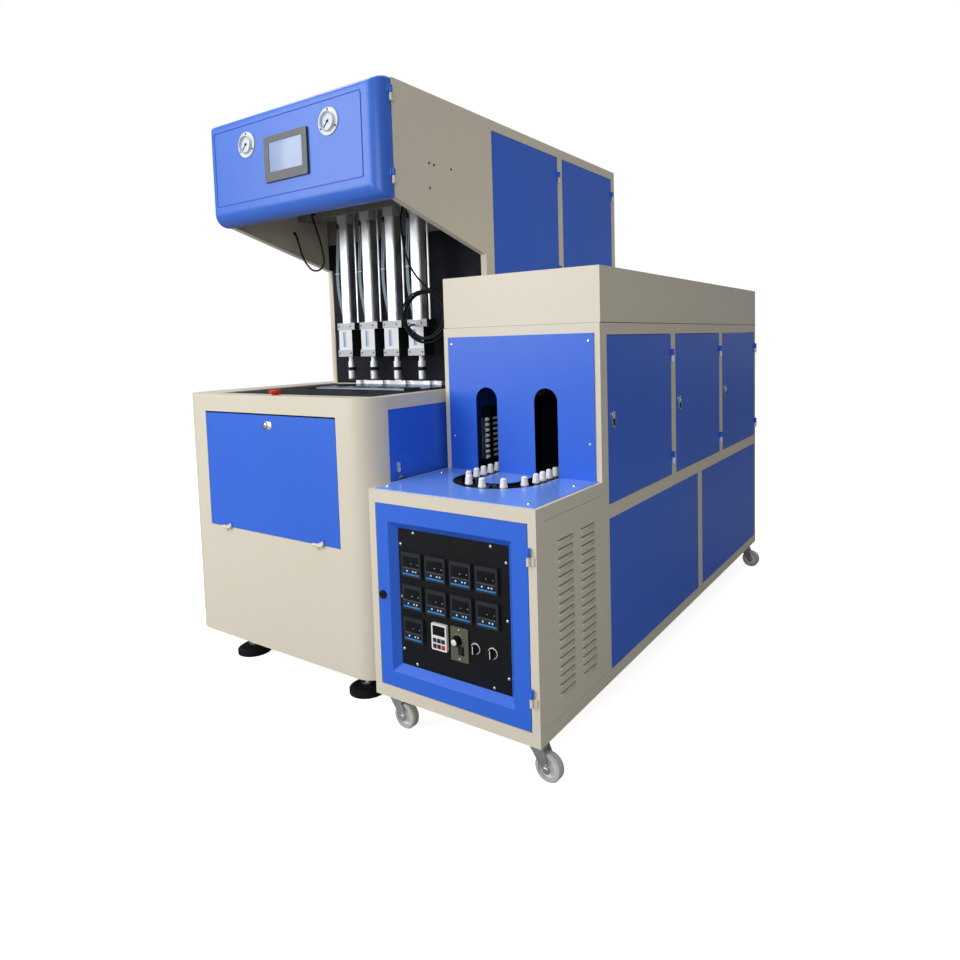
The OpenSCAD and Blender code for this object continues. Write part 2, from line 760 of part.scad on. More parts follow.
// Point on a smooth curve through pts, at segment k and share t
function curve_at(pts, k, t) = let (
        last = len(pts) - 1,
        a = pts[max(k - 1, 0)],
        b = pts[k],
        c = pts[min(k + 1, last)],
        d = pts[min(k + 2, last)])
    b + 0.5 * ((c - a) * t + (2 * a - 5 * b + 4 * c - d) * t * t + (3 * b - a - 3 * c + d) * t * t * t);

// Plain tube along a smooth curve
module tube(pts, r, n = 8, steps = 3) {
    m = (len(pts) - 1) * steps;
    path = [for (i = [0:m]) let (k = min(floor(i / steps), len(pts) - 2)) curve_at(pts, k, i / steps - k)];
    rings = [for (i = [0:m]) each ring_at(path[i], path[min(i + 1, m)] - path[max(i - 1, 0)], r, n)];
    low = [for (i = [0:m - 1], j = [0:n - 1]) [i * n + j, i * n + (j + 1) % n, (i + 1) * n + (j + 1) % n]];
    high = [for (i = [0:m - 1], j = [0:n - 1]) [i * n + j, (i + 1) * n + (j + 1) % n, (i + 1) * n + j]];
    ends = [[for (j = [n - 1:-1:0]) j], [for (j = [0:n - 1]) m * n + j]];
    polyhedron(points = rings, faces = concat(low, high, ends));
}

// Route points moved to the bay's left front corner on the table
function in_bay(pts) = [for (p = pts) [qx0 + p[0], qy0 + p[1], table_h + p[2] * (beam_h - table_h) / route_h]];

// Air hoses from the beam down to the sealing cylinders, tied in pairs
module air_hoses() {
    color("#a9b4bd") stations() for (x = [-1, 1])
        tube([[-34 + 5 * x, 0, beam_h], [-34 + 5 * x, -14, hose_tie + hose_swing], [-36 + 3.6 * x, -20, hose_tie],
            [-36 + 3.6 * x, -16, hose_tie - 0.8 * hose_swing], [-31 + 4 * x, 0, block_z1 + 22], [-31 + 4 * x, 0, block_z1]],
            hose_r);
}

// Black cables: a hanging loop, the one that runs down to the coil, and the coil's short tail
module cables() {
    color("#16171a") for (pts = [loop_pts, drop_pts, tail_pts]) tube(in_bay(pts), cable_r);
}

// Tied coil of spare cable in front of the last station
module cable_coil() {
    color("#16171a") translate(in_bay([coil_c])[0]) rotate([90, 0, coil_turn])
        rotate_extrude() translate([coil_r, 0]) circle(coil_rr);
}

// Square tube frame of the heater, with the floor tray and the hinge pins
module heater_frame() {
    z0 = caster_h;
    color("#d2cbb8") {
        for (x = [hx0, hx1 - post_w]) {
            span([x, hy0, z0], [x + post_w, hy0 + post_d, load_h]);
            span([x, step_y - 4, z0], [x + post_w, step_y + first_post - door_gap, seam_z]);
            for (i = [0:1])
                span([x, door_y[i] + side_door_l + door_gap, belt_z0],
                    [x + post_w, door_y[i + 1] - door_gap, seam_z]);
            span([x, low_post_y, z0], [x + post_w, low_post_y + low_post_w, belt_z1]);
            span([x, door_y[2] + side_door_l + door_gap, z0], [x + post_w, hy1, seam_z]);
            span([x, hy0, z0], [x + post_w, hy1, z0 + rail_h]);
            span([x, hy0, load_h - rail_h], [x + post_w, step_y, load_h]);
            span([x, step_y, belt_z0], [x + post_w, hy1, belt_z1]);
            span([x, step_y, side_z1], [x + post_w, hy1, seam_z]);
        }
        for (y = [hy0, hy1 - post_w]) span([hx0, y, z0], [hx1, y + post_w, z0 + rail_h]);
        span([hx0, hy0, load_h - rail_h], [hx1, hy0 + post_w, load_h]);
        span([hx0, step_y - 4, side_z1], [hx1, step_y + 20, seam_z]);
        for (y = [step_y, hy1 - post_w]) span([hx0, y, belt_z0], [hx1, y + post_w, bed_z]);
        span([hx0, hy1 - post_w, side_z1], [hx1, hy1, seam_z]);
        span([hx0 + 5, hy0 + 5, z0], [hx1 - 5, hy1 - 5, z0 + 3]);
        for (y = door_y, z = [belt_z1 + 60, side_z1 - 75])
            side_hinge_lower(hx1, y + side_door_l + hinge_set, z);
        for (z = control_hinge_z) translate([control_x0 + control_w + hinge_set, hy0 - knuckle_r, z]) {
            hinge_lower();
            translate([0, knuckle_r - leaf_t, -knuckle_h]) cube([14, leaf_t, knuckle_h - seat]);
        }
    }
}

// Sheet hood over the oven, open below
module heater_hood() {
    color("#d8d1bf") difference() {
        span([hx0, step_y, seam_z], [hx1, hy1, heater_h]);
        span([hx0 + sheet_t, step_y + sheet_t, seam_z - 1], [hx1 - sheet_t, hy1 - sheet_t, heater_h - sheet_t]);
    }
}

// Arch in the plane of the front panel
module arch(c) {
    translate([c - arch_w / 2, -1]) square([arch_w, arch_h - arch_w / 2 + 1]);
    translate([c, arch_h - arch_w / 2]) circle(arch_w / 2);
}

// Blue panel above the table with the two arches for the preforms
module arch_panel() {
    color("#2a5bc4") translate([0, step_y - 4, load_h + 2]) rotate([90, 0, 0]) linear_extrude(3) difference() {
        translate([hx0 + 18, 0]) square([heater_w - 36, side_z1 - load_h + 4]);
        for (s = [-1, 1]) arch(path_c + s * holder_path_r);
    }
}

// U shape that the holders travel in, from the front arc back to y1
module slot_u(y1) {
    translate([path_c, path_y0]) difference() {
        circle(holder_path_r + slot_w / 2, $fn = 96);
        circle(holder_path_r - slot_w / 2, $fn = 96);
        translate([-300, 0]) square([600, 300]);
    }
    for (s = [-1, 1]) translate([path_c + s * holder_path_r - slot_w / 2, path_y0 - 0.01])
        square([slot_w, y1 - path_y0]);
}

// Blue loading table with the U slot, laid on the frame
module heater_table() {
    color("#2f68e0") translate([0, 0, load_h]) linear_extrude(2) difference() {
        translate([hx0 + 11, hy0 + 11]) square([heater_w - 22, load_d - 15]);
        slot_u(step_y + 30);
    }
}

// Folded control door with a bevelled recess, open behind, and a window in the recess floor
module control_door() {
    h = control_z1 - control_z0;
    floor_y = hy0 + recess_d;
    wall = 2.5;
    color("#2f62cf") difference() {
        union() {
            difference() {
                face_plate(control_x0, hy0, control_z0, control_w, control_t, h, 3);
                face_plate(control_x0 + skin, hy0 + skin, control_z0 + skin, control_w - 2 * skin, control_t,
                    h - 2 * skin, 2);
            }
            hull() {
                span([pan_x0 - 20 - wall, hy0, pan_z0 - 20 - wall],
                    [pan_x1 + 20 + wall, hy0 + 1, pan_z1 + 20 + wall]);
                span([pan_x0 - wall, floor_y, pan_z0 - wall], [pan_x1 + wall, hy0 + control_t, pan_z1 + wall]);
            }
        }
        hull() {
            span([pan_x0 - 20, hy0 - 1, pan_z0 - 20], [pan_x1 + 20, hy0 + 0.01, pan_z1 + 20]);
            span([pan_x0, pan_y - 1, pan_z0], [pan_x1, pan_y, pan_z1]);
        }
        span([pan_x0, pan_y - 1, pan_z0], [pan_x1, floor_y, pan_z1]);
        span([pan_x0 + 8, floor_y - 1, pan_z0 + 8], [pan_x1 - 8, hy0 + 40, pan_z1 - 8]);
        translate([control_x0 + lock_in, hy0 + 30, lock_z]) rotate([90, 0, 0]) cylinder(r = 8.5, h = 40);
    }
    color("#2f62cf") for (z = control_hinge_z)
        translate([control_x0 + control_w + hinge_set, hy0 - knuckle_r, z]) {
            hinge_upper();
            translate([-20, knuckle_r - 4.5, 0]) cube([15.8, 5, knuckle_h]);
        }
}

// Centres of the nine temperature controllers
meters = [for (r = [0:2], c = [0:r < 2 ? 3 : 0]) [meter_x + c * meter_px, meter_z - r * meter_pz]];

// Black instrument plate with its cut-outs
module control_panel() {
    color("#17181b") difference() {
        span([pan_x0, pan_y, pan_z0], [pan_x1, pan_y + pan_t, pan_z1]);
        for (m = meters) span([m[0] - 31, pan_y - 5, m[1] - 31], [m[0] + 31, pan_y + 9, m[1] + 31]);
        for (x = switch_x) translate([x, pan_y + 9, switch_z]) rotate([90, 0, 0]) cylinder(r = 6, h = 20);
        translate([knob_x, pan_y + 9, knob_z]) rotate([90, 0, 0]) cylinder(r = 6, h = 20);
    }
}

// Temperature controllers, drive keypad and speed plate
module panel_instruments() {
    color("#2a2d31") for (m = meters) difference() {
        union() {
            face_plate(m[0] - meter_w / 2, pan_y - 8, m[1] - meter_w / 2, meter_w, 8, meter_w, 3);
            span([m[0] - 30.7, pan_y - 1, m[1] - 30.7], [m[0] + 30.7, pan_y + 60, m[1] + 30.7]);
        }
        span([m[0] - 28, pan_y - 9, m[1] - 6], [m[0] + 28, pan_y - 6.5, m[1] + 24]);
    }
    color("#d8d8d4") face_plate(hx0 + 206, pan_y - 9, load_h - 428, 52, 9, 74, 3);
    color("#6f6a3e") difference() {
        face_plate(speed_x - 29, pan_y - 4, speed_z - 47, 58, 4, 94, 2);
        translate([knob_x, pan_y + 9, knob_z]) rotate([90, 0, 0]) cylinder(r = 5, h = 20);
    }
}

// Speed knob with its spindle
module speed_knob() {
    color("#1b1b1d") translate([knob_x, pan_y - 4 - seat, knob_z]) rotate([90, 0, 0]) difference() {
        union() {
            cylinder(r = 15, h = 5);
            cylinder(r = 11, h = 16);
            translate([0, 0, -14]) cylinder(r = 4.5, h = 16);
        }
        translate([-1, 6, 14]) cube([2, 8, 4]);
    }
}

// Rotary switch: chrome ring, spindle and a raised grip
module rotary_switch(i) {
    color("#c9ccd0") translate([switch_x[i], pan_y - seat, switch_z]) rotate([90, 0, 0]) {
        cylinder(r = 15, h = 3);
        cylinder(r = 12, h = 10);
        translate([-3, -12, 9]) cube([6, 24, 8]);
        translate([0, 0, -12]) cylinder(r = 5.5, h = 13);
    }
}

// Quarter-turn lock of the control door
module door_lock() {
    color("#1b1b1d") translate([control_x0 + lock_in, hy0 - seat, lock_z]) rotate([90, 0, 0]) difference() {
        union() {
            cylinder(r = 12, h = 5);
            translate([0, 0, -control_t - 8]) cylinder(r = 8.2, h = control_t + 10);
            translate([-3, -6, -control_t - 7]) cube([6, 36, 3]);
        }
        translate([-6, -1.2, 3]) cube([12, 2.4, 4]);
    }
}

// Folded side door of the oven, hinged at its rear edge, with its oval latch
module side_door(i) {
    y = door_y[i];
    h = side_z1 - belt_z1 - 2 * door_gap;
    color("#2a5bc4") {
        side_tray(hx1 + 1, 1, y, belt_z1 + door_gap, door_t, side_door_l, h);
        for (z = [belt_z1 + 60, side_z1 - 75]) side_hinge_upper(hx1, y + side_door_l + hinge_set, z);
    }
    color("#c9ccd0") translate([hx1 - 8, y + 30, (belt_z1 + side_z1) / 2]) rotate([90, 0, 90])
        linear_extrude(13) translate([-11, -25]) round_rect(22, 50, 10);
}

// Panel across X in the frame opening between two corners, with a small gap all round
module side_panel(x, y0, y1, z0, z1) {
    span([x, y0 + seat, z0 + seat], [x + panel_t, y1 - seat, z1 - seat]);
}

// Screwed-in panels: right side below the doors, left side and back
module fixed_panels() {
    z0 = caster_h + rail_h;
    post_end = step_y + first_post - door_gap;
    last_post = door_y[2] + side_door_l + door_gap;
    color("#2a5bc4") {
        for (x = [hx0, hx1 - panel_t]) {
            side_panel(x, post_end, low_post_y, z0, belt_z0);
            side_panel(x, low_post_y + low_post_w, last_post, z0, belt_z0);
        }
        for (y = door_y) side_panel(hx0, y - door_gap, y + side_door_l + door_gap, belt_z1, side_z1);
        side_panel(hx0, hy0 + post_d, step_y - 4, z0, load_h - rail_h);
        for (z = [[z0, belt_z0], [bed_z, side_z1]])
            span([hx0 + post_w + seat, hy1 - panel_t, z[0] + seat],
                [hx1 - post_w - seat, hy1, z[1] - seat]);
    }
}

// Louvred panel in the side of the control cabinet
module vent_panel() {
    h = vent_z1 - vent_z0;
    color("#d6cfbd") difference() {
        union() {
            side_plate(hx1 - panel_t, vent_y0, vent_z0, panel_t, vent_y1 - vent_y0, h, 2);
            for (c = [0, 1], i = [0:louvre_n - 1])
                translate([hx1 - 0.5, vent_y0 + 48 + c * (louvre_w + 22), vent_z0 + 60 + i * louvre_p])
                    rotate([-90, 0, 0]) linear_extrude(louvre_w) polygon([[0, -9], [5, 0], [0, 0]]);
        }
        for (c = [0, 1], i = [0:louvre_n - 1])
            translate([hx1 - 3, vent_y0 + 50 + c * (louvre_w + 22), vent_z0 + 57 + i * louvre_p])
                cube([6, louvre_w - 4, 4]);
    }
}

// Deck inside the oven with the same slot, and the island inside the slot
module oven_deck() {
    color("#3a3d40") translate([0, 0, deck2_z]) linear_extrude(4) difference() {
        translate([hx0 + post_w, hy0 + post_w])
            square([heater_w - 2 * post_w, heater_l - post_w - panel_t - seat]);
        slot_u(path_y1 + 0.02);
        translate([0, path_y0 + path_y1]) mirror([0, 1]) slot_u(path_y0 + 10);
    }
}

// Chain link k at its own middle: plate, pins or holes, arm, spindle and white holder cap
module chain_link(k) {
    z = chain_z + (k % 2) * (link_t + link_gap);
    half = chain_p / 2;
    color("#e9eaea") difference() {
        union() {
            translate([0, 0, z]) linear_extrude(link_t) {
                translate([-link_r, -half]) square([2 * link_r, chain_p]);
                for (y = [-half, half]) translate([0, y]) circle(link_r);
            }
            if (k % 2 == 0) for (y = [-half, half]) translate([0, y, chain_z - roller_h]) {
                cylinder(r = roller_r, h = roller_h + 1);
                cylinder(r = link_pin_r, h = roller_h + 2 * link_t + 1);
            }
            translate([-5, -6, z]) cube([holder_out + 5, 12, chain_z + 12 - z]);
            translate([holder_out, 0, z]) cylinder(r = 7, h = load_h - 3 - z);
            translate([holder_out, 0, load_h - 4]) cylinder(r = holder_r + 1.5, h = 5);
            translate([holder_out, 0, load_h]) cylinder(r1 = holder_r + 1, r2 = holder_r - 1, h = 15);
            translate([holder_out, 0, load_h + 14]) cylinder(r = holder_r - 1, h = 6);
            translate([holder_out, 0, load_h + 19]) cylinder(r1 = holder_r - 1, r2 = holder_r - 4, h = 4);
        }
        if (k % 2 == 1) for (y = [-half, half])
            translate([0, y, z - 1]) cylinder(r = link_pin_r + link_gap, h = link_t + 2);
    }
}

// Closed chain of preform holders round both chain wheels, as it runs
module preform_holders() {
    arc_r = chain_r * cos(180 / teeth);
    arc_n = teeth / 2;
    for (i = [0:run_links - 1]) {
        translate([path_c + chain_r, path_y0 + (i + 0.5) * chain_p, 0]) chain_link(i);
        translate([path_c - chain_r, path_y0 + (i + 0.5) * chain_p, 0]) rotate(180)
            chain_link(2 * run_links + arc_n - 1 - i);
    }
    for (i = [0:arc_n - 1]) {
        a = (i + 0.5) * 360 / teeth;
        translate([path_c, path_y1, 0]) rotate(a) translate([arc_r, 0, 0]) chain_link(run_links + i);
        translate([path_c, path_y0, 0]) rotate(180 + a) translate([arc_r, 0, 0])
            chain_link(2 * run_links + arc_n + i);
    }
}

// Chain wheel with a pocket for each roller, on its shaft with a collar
module chain_wheel() {
    difference() {
        translate([0, 0, chain_z - roller_h + 1 - seat]) cylinder(r = chain_r + 3, h = roller_h - 1);
        for (i = [0:teeth - 1]) rotate(i * 360 / teeth)
            translate([chain_r, 0, chain_z - 20]) cylinder(r = roller_r + slide_gap, h = 40);
    }
    translate([0, 0, bed_z - 14]) cylinder(r = shaft_d / 2, h = chain_z + 16 - bed_z + 14);
    translate([0, 0, chain_z]) cylinder(r = 30, h = 16);
}

// Chain bed with its guide plate and pillars, both chain wheels and the gear motor at the rear
module chain_drive() {
    bed_y0 = path_y0 - 60;
    guide_z = chain_z - roller_h - seat;
    half_w = chain_r + roller_r + 2;
    color("#8f8d86") difference() {
        union() {
            span([path_c - bed_w / 2, bed_y0, bed_z], [path_c + bed_w / 2, hy1 - 4, guide_z - 4]);
            span([path_c - half_w, path_y0, guide_z - 5], [path_c + half_w, path_y1, guide_z]);
            for (y = [path_y0, path_y1]) translate([path_c, y, guide_z - 5]) cylinder(r = half_w, h = 5);
            for (i = [1:5]) translate([path_c - 30, path_y0 + i * run_l / 6 - 10, guide_z - 5])
                cube([60, 20, deck2_z - guide_z + 5]);
        }
        for (y = [path_y0, path_y1])
            translate([path_c, y, bed_z - 1]) cylinder(r = shaft_d / 2 + slide_gap, h = 60);
    }
    color("#55585c") for (y = [path_y0, path_y1]) translate([path_c, y, 0]) chain_wheel();
    color("#4a6d8c") difference() {
        union() {
            translate([path_c - 60, path_y1 - 60, bed_z - seat - 90]) cube([120, 120, 90]);
            translate([path_c, path_y1, bed_z - seat - 300]) cylinder(r = 55, h = 215);
        }
        translate([path_c, path_y1, bed_z - 20]) cylinder(r = shaft_d / 2 + slide_gap, h = 30);
    }
}

// Lamp rows beside both preform runs
module heat_lamps() {
    color("#e8e2d6") for (s = [-1, 1], k = [0, 1], i = [0:lamp_rows - 1])
        translate([path_c + s * lamp_x, lamp_y0 + 10 + k * lamp_p, load_h + 34 + i * 17.5])
            rotate([-90, 0, 0]) cylinder(r = lamp_r, h = lamp_l);
}

// Lamp boxes: back reflectors, end brackets and the centre reflectors
module lamp_boxes() {
    z1 = load_h + 200;
    color("#b6babd") for (s = [-1, 1]) {
        xr = path_c + s * (lamp_x + 14);
        xc = path_c + s * (holder_path_r - 52);
        difference() {
            union() {
                span([xr - 1, lamp_y0, load_h], [xr + 1, lamp_y1, z1]);
                for (k = [0, 1], e = [0, lamp_l - 20])
                    translate([s > 0 ? xr - 24 : xr, lamp_y0 + 15 + k * lamp_p + e, load_h]) cube([24, 12, 190]);
            }
            for (k = [0, 1], i = [0:lamp_rows - 1])
                translate([path_c + s * lamp_x, lamp_y0 + k * lamp_p, load_h + 34 + i * 17.5])
                    rotate([-90, 0, 0]) cylinder(r = lamp_r + slide_gap, h = lamp_l + 40);
        }
        span([xc - 1, lamp_y0, load_h], [xc + 1, lamp_y1, z1]);
    }
}

// Places a caster: f is 0 at the front and 1 at the rear, s is 0 left and 1 right
module caster_at(s, f) {
    translate([s ? hx1 - caster_inset : hx0 + caster_inset, f ? hy1 - 60 : hy0 + 50, 0]) children();
}

// Swivelling fork with its top plate and axle
module caster_fork() {
    cheek = wheel_w / 2 + 2;
    color("#c7c3b8") {
        translate([0, 0, caster_h - 14]) cylinder(r = 24, h = 14 - seat);
        for (y = [-cheek - 3, cheek]) hull() {
            translate([-20, y, caster_h - 16]) cube([40, 3, 3]);
            translate([caster_trail, y + 3, wheel_r]) rotate([90, 0, 0]) cylinder(r = 11, h = 3, $fn = 24);
        }
        translate([-20, -cheek - 3, caster_h - 16]) cube([40, 2 * cheek + 6, 4]);
        translate([caster_trail, cheek + 6, wheel_r]) rotate([90, 0, 0]) cylinder(r = 5, h = 2 * cheek + 12);
    }
}

// Wheel with a hub, a web and a rounded tread
module caster_wheel() {
    w = wheel_w / 2;
    r = wheel_r;
    profile = [[5.2, -w - 1], [12, -w - 1], [12, -6], [r - 12, -6], [r - 10, -w], [r - 3, -w], [r, -w + 4],
        [r, w - 4], [r - 3, w], [r - 10, w], [r - 12, 6], [12, 6], [12, w + 1], [5.2, w + 1]];
    color("#c9c9c6") translate([caster_trail, 0, wheel_r]) rotate([90, 0, 0])
        rotate_extrude($fn = 64) polygon(profile);
}

blower_casing();
blower_base();
levelling_feet();
bay_deck();
front_door();
side_covers();
stop_button();
head_casing();
bay_wall();
head_cover();
touch_screen();
gauge_housings();
needle(-1);  // needle_left
needle(1);  // needle_right
column_door(0);  // column_door_front
column_door(1);  // column_door_rear
column_left_covers();
cylinder_beam();
blow_cylinders();
blow_nozzles();
stretch_rods();
mould_half(-1);  // front_mould
mould_half(1);  // rear_mould
platen(-1);  // front_platen
platen(1);  // rear_platen
clamp_frame();
clamp_cylinders();
neck_bar();
air_hoses();
cables();
cable_coil();
heater_frame();
heater_hood();
arch_panel();
heater_table();
control_door();
control_panel();
panel_instruments();
speed_knob();
rotary_switch(0);  // rotary_switch_left
rotary_switch(1);  // rotary_switch_right
door_lock();
side_door(0);  // side_door_front
side_door(1);  // side_door_middle
side_door(2);  // side_door_rear
fixed_panels();
vent_panel();
oven_deck();
preform_holders();
chain_drive();
heat_lamps();
lamp_boxes();
caster_at(0, 0) caster_fork();  // caster_fork_fl
caster_at(1, 0) caster_fork();  // caster_fork_fr
caster_at(0, 1) caster_fork();  // caster_fork_rl
caster_at(1, 1) caster_fork();  // caster_fork_rr
caster_at(0, 0) caster_wheel();  // caster_wheel_fl
caster_at(1, 0) caster_wheel();  // caster_wheel_fr
caster_at(0, 1) caster_wheel();  // caster_wheel_rl
caster_at(1, 1) caster_wheel();  // caster_wheel_rr
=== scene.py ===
import math
import bmesh
import bpy
from bpy.props import FloatProperty, FloatVectorProperty, IntProperty, PointerProperty
from mathutils import Matrix, Vector


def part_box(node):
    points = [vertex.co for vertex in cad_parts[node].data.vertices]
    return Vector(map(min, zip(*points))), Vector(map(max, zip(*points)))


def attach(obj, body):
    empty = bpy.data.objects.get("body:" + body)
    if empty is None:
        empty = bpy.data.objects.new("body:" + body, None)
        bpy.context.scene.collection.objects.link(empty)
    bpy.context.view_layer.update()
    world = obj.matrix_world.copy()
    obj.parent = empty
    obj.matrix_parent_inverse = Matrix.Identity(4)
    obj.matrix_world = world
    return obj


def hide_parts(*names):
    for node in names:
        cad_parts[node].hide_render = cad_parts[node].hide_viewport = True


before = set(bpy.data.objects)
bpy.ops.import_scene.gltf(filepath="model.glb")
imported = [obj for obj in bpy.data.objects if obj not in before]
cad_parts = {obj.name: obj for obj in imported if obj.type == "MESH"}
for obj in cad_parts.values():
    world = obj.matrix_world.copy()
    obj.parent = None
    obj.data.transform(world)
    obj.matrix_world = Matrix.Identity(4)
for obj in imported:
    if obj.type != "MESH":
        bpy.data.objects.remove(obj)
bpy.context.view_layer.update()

bl_info = {
    "name": "Bottle blow moulding machine",
    "version": (1, 0, 0),
    "blender": (4, 5, 0),
    "location": "3D View > Sidebar > Blow moulder",
    "description": "Finishes, instruments, fasteners and cables of a bottle blow moulder and its preform heater",
    "category": "Object",
}

# Edges that the pieces are placed from, in metres: B for the blow moulder, Q for its head and bay,
# H for the heater. Hinge knuckles stand this far before the sheets of the two front doors.
KNUCKLE = 0.011
BX0, BX1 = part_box("blower_casing")[0][0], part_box("blower_casing")[1][0]
BY0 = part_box("blower_casing")[0][1] + KNUCKLE
TABLE_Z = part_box("blower_casing")[1][2]
QX0, QX1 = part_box("head_cover")[0][0], BX1
QC = (QX0 + QX1) / 2
# The knuckles of the head cover's hinges stand 13.5 mm before the head's side sheets
QY0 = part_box("head_casing")[0][1] + 0.0135
HEAD_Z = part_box("head_casing")[1][2]
COVER_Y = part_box("head_cover")[0][1]
HX0, STEP_Y, HOOD_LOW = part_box("heater_hood")[0]
HX1, HY1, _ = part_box("heater_hood")[1]
HY0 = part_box("control_door")[0][1] + KNUCKLE
PANEL_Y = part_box("control_panel")[0][1]
HEATER_TABLE_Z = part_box("heater_table")[1][2]

# Directions that a turned piece points in
FRONT, RIGHT, UP, DOWN = (0, -1, 0), (1, 0, 0), (0, 0, 1), (0, 0, -1)
CASTERS = ("fl", "fr", "rl", "rr")
SIDE_DOORS = ("front", "middle", "rear")


def heater(x, y, z):
    """A point in millimetres from the heater's left front corner on the floor."""
    return Vector((HX0 + x / 1000, HY0 + y / 1000, z / 1000))


def bay(x, y, z):
    """A point in millimetres from the bay's left front corner on the table."""
    return Vector((QX0 + x / 1000, QY0 + y / 1000, TABLE_Z + z / 1000))


def linear(colour):
    """Linear red, green, blue and alpha from an sRGB hex value."""
    parts = [int(colour[i:i + 2], 16) / 255 for i in (1, 3, 5)]
    return tuple(c / 12.92 if c <= 0.04045 else ((c + 0.055) / 1.055) ** 2.4 for c in parts) + (1.0,)


def add(tree, kind, links=(), **settings):
    """Adds one shader node, sets its properties and sockets, and links its inputs."""
    node = tree.nodes.new(kind)
    for key, value in settings.items():
        if key in node.inputs:
            node.inputs[key].default_value = value
        else:
            setattr(node, key, value)
    for source, output, socket in links:
        tree.links.new(source.outputs[output], node.inputs[socket])
    return node


def surface(name, colour, metallic=0.0, roughness=0.5, **more):
    """A material with one Principled shader; more sets further sockets by name."""
    material = bpy.data.materials.new(name)
    material.use_nodes = True
    tree = material.node_tree
    shader = tree.nodes["Principled BSDF"]
    shader.inputs["Base Color"].default_value = linear(colour)
    shader.inputs["Metallic"].default_value = metallic
    shader.inputs["Roughness"].default_value = roughness
    for key, value in more.items():
        shader.inputs[key.replace("_", " ")].default_value = value
    material.diffuse_color = linear(colour)
    return material, tree, shader


def grain(tree, shader, size_mm, depth_mm, stretch=(1, 1, 1), detail=2.0):
    """Fine bump of one grain size, in object space, stretched along an axis for brushed metal."""
    place = add(tree, "ShaderNodeTexCoord")
    scale = add(tree, "ShaderNodeMapping", [(place, "Object", "Vector")], Scale=stretch)
    noise = add(tree, "ShaderNodeTexNoise", [(scale, "Vector", "Vector")], Scale=1000 / size_mm, Detail=detail)
    bump = add(tree, "ShaderNodeBump", [(noise, "Fac", "Height")], Strength=1.0, Distance=depth_mm / 1000)
    tree.links.new(bump.outputs["Normal"], shader.inputs["Normal"])


def mottle(tree, shader, socket, one, other, size_mm, low=0.35, high=0.65):
    """Slow variation of a socket between two colours or two values, over patches of one size."""
    place = add(tree, "ShaderNodeTexCoord")
    noise = add(tree, "ShaderNodeTexNoise", [(place, "Object", "Vector")], Scale=1000 / size_mm, Detail=4.0)
    ramp = add(tree, "ShaderNodeValToRGB", [(noise, "Fac", "Fac")])
    for stop, position, value in zip(ramp.color_ramp.elements, (low, high), (one, other)):
        stop.position = position
        stop.color = value if isinstance(value, tuple) else (value, value, value, 1)
    tree.links.new(ramp.outputs["Color"], shader.inputs[socket])


def powder_coat(name, colour, darker, roughness=0.42):
    """A paint baked or sprayed on metal: soft gloss over the fine orange peel of the coat."""
    material, tree, shader = surface(name, colour, 0.0, roughness, Coat_Weight=0.12, Coat_Roughness=0.3,
                                     Specular_IOR_Level=0.35)
    # The coat's thickness changes slowly, over about 700 mm of a sheet
    mottle(tree, shader, "Base Color", linear(darker), linear(colour), 700, 0.2, 0.8)
    # Orange peel is about 2 mm across, drawn at 4 mm so that it shows
    grain(tree, shader, 4.0, 0.05)
    return material


def ground_metal(name, colour, roughness, stretch, size_mm=2.0, depth_mm=0.02):
    """Bare metal with the marks of grinding, brushing, drawing or plating.

    Real marks are finer than 0.5 mm; they are drawn at the size given so that they show.
    """
    material, tree, shader = surface(name, colour, 1.0, roughness)
    grain(tree, shader, size_mm, depth_mm, stretch, 3.0)
    # Wiping leaves duller patches of about 60 mm
    mottle(tree, shader, "Roughness", roughness * 0.8, min(roughness * 1.3, 0.9), 60)
    return material


def fine_grit(name, colour, roughness, grit_mm=1.0, depth_mm=0.03):
    """A low sheen over fine grit: a tool's sparked texture on plastic or rubber, a print or a matt coat.

    Real grit is finer than 0.3 mm; it is drawn at the size given so that it shows.
    """
    material, tree, shader = surface(name, colour, 0.0, roughness, Specular_IOR_Level=0.2)
    grain(tree, shader, grit_mm, depth_mm)
    # Hands leave patches of about 35 mm that are a little smoother
    mottle(tree, shader, "Roughness", roughness * 0.9, min(roughness * 1.12, 0.95), 35)
    return material


def clear_skin(name, colour, roughness, size_mm, depth_mm, **more):
    """A smooth drawn or rolled surface, whose slow waves bend its highlights a little."""
    material, tree, shader = surface(name, colour, 0.0, roughness, **more)
    grain(tree, shader, size_mm, depth_mm)
    return material


MATERIALS = {}


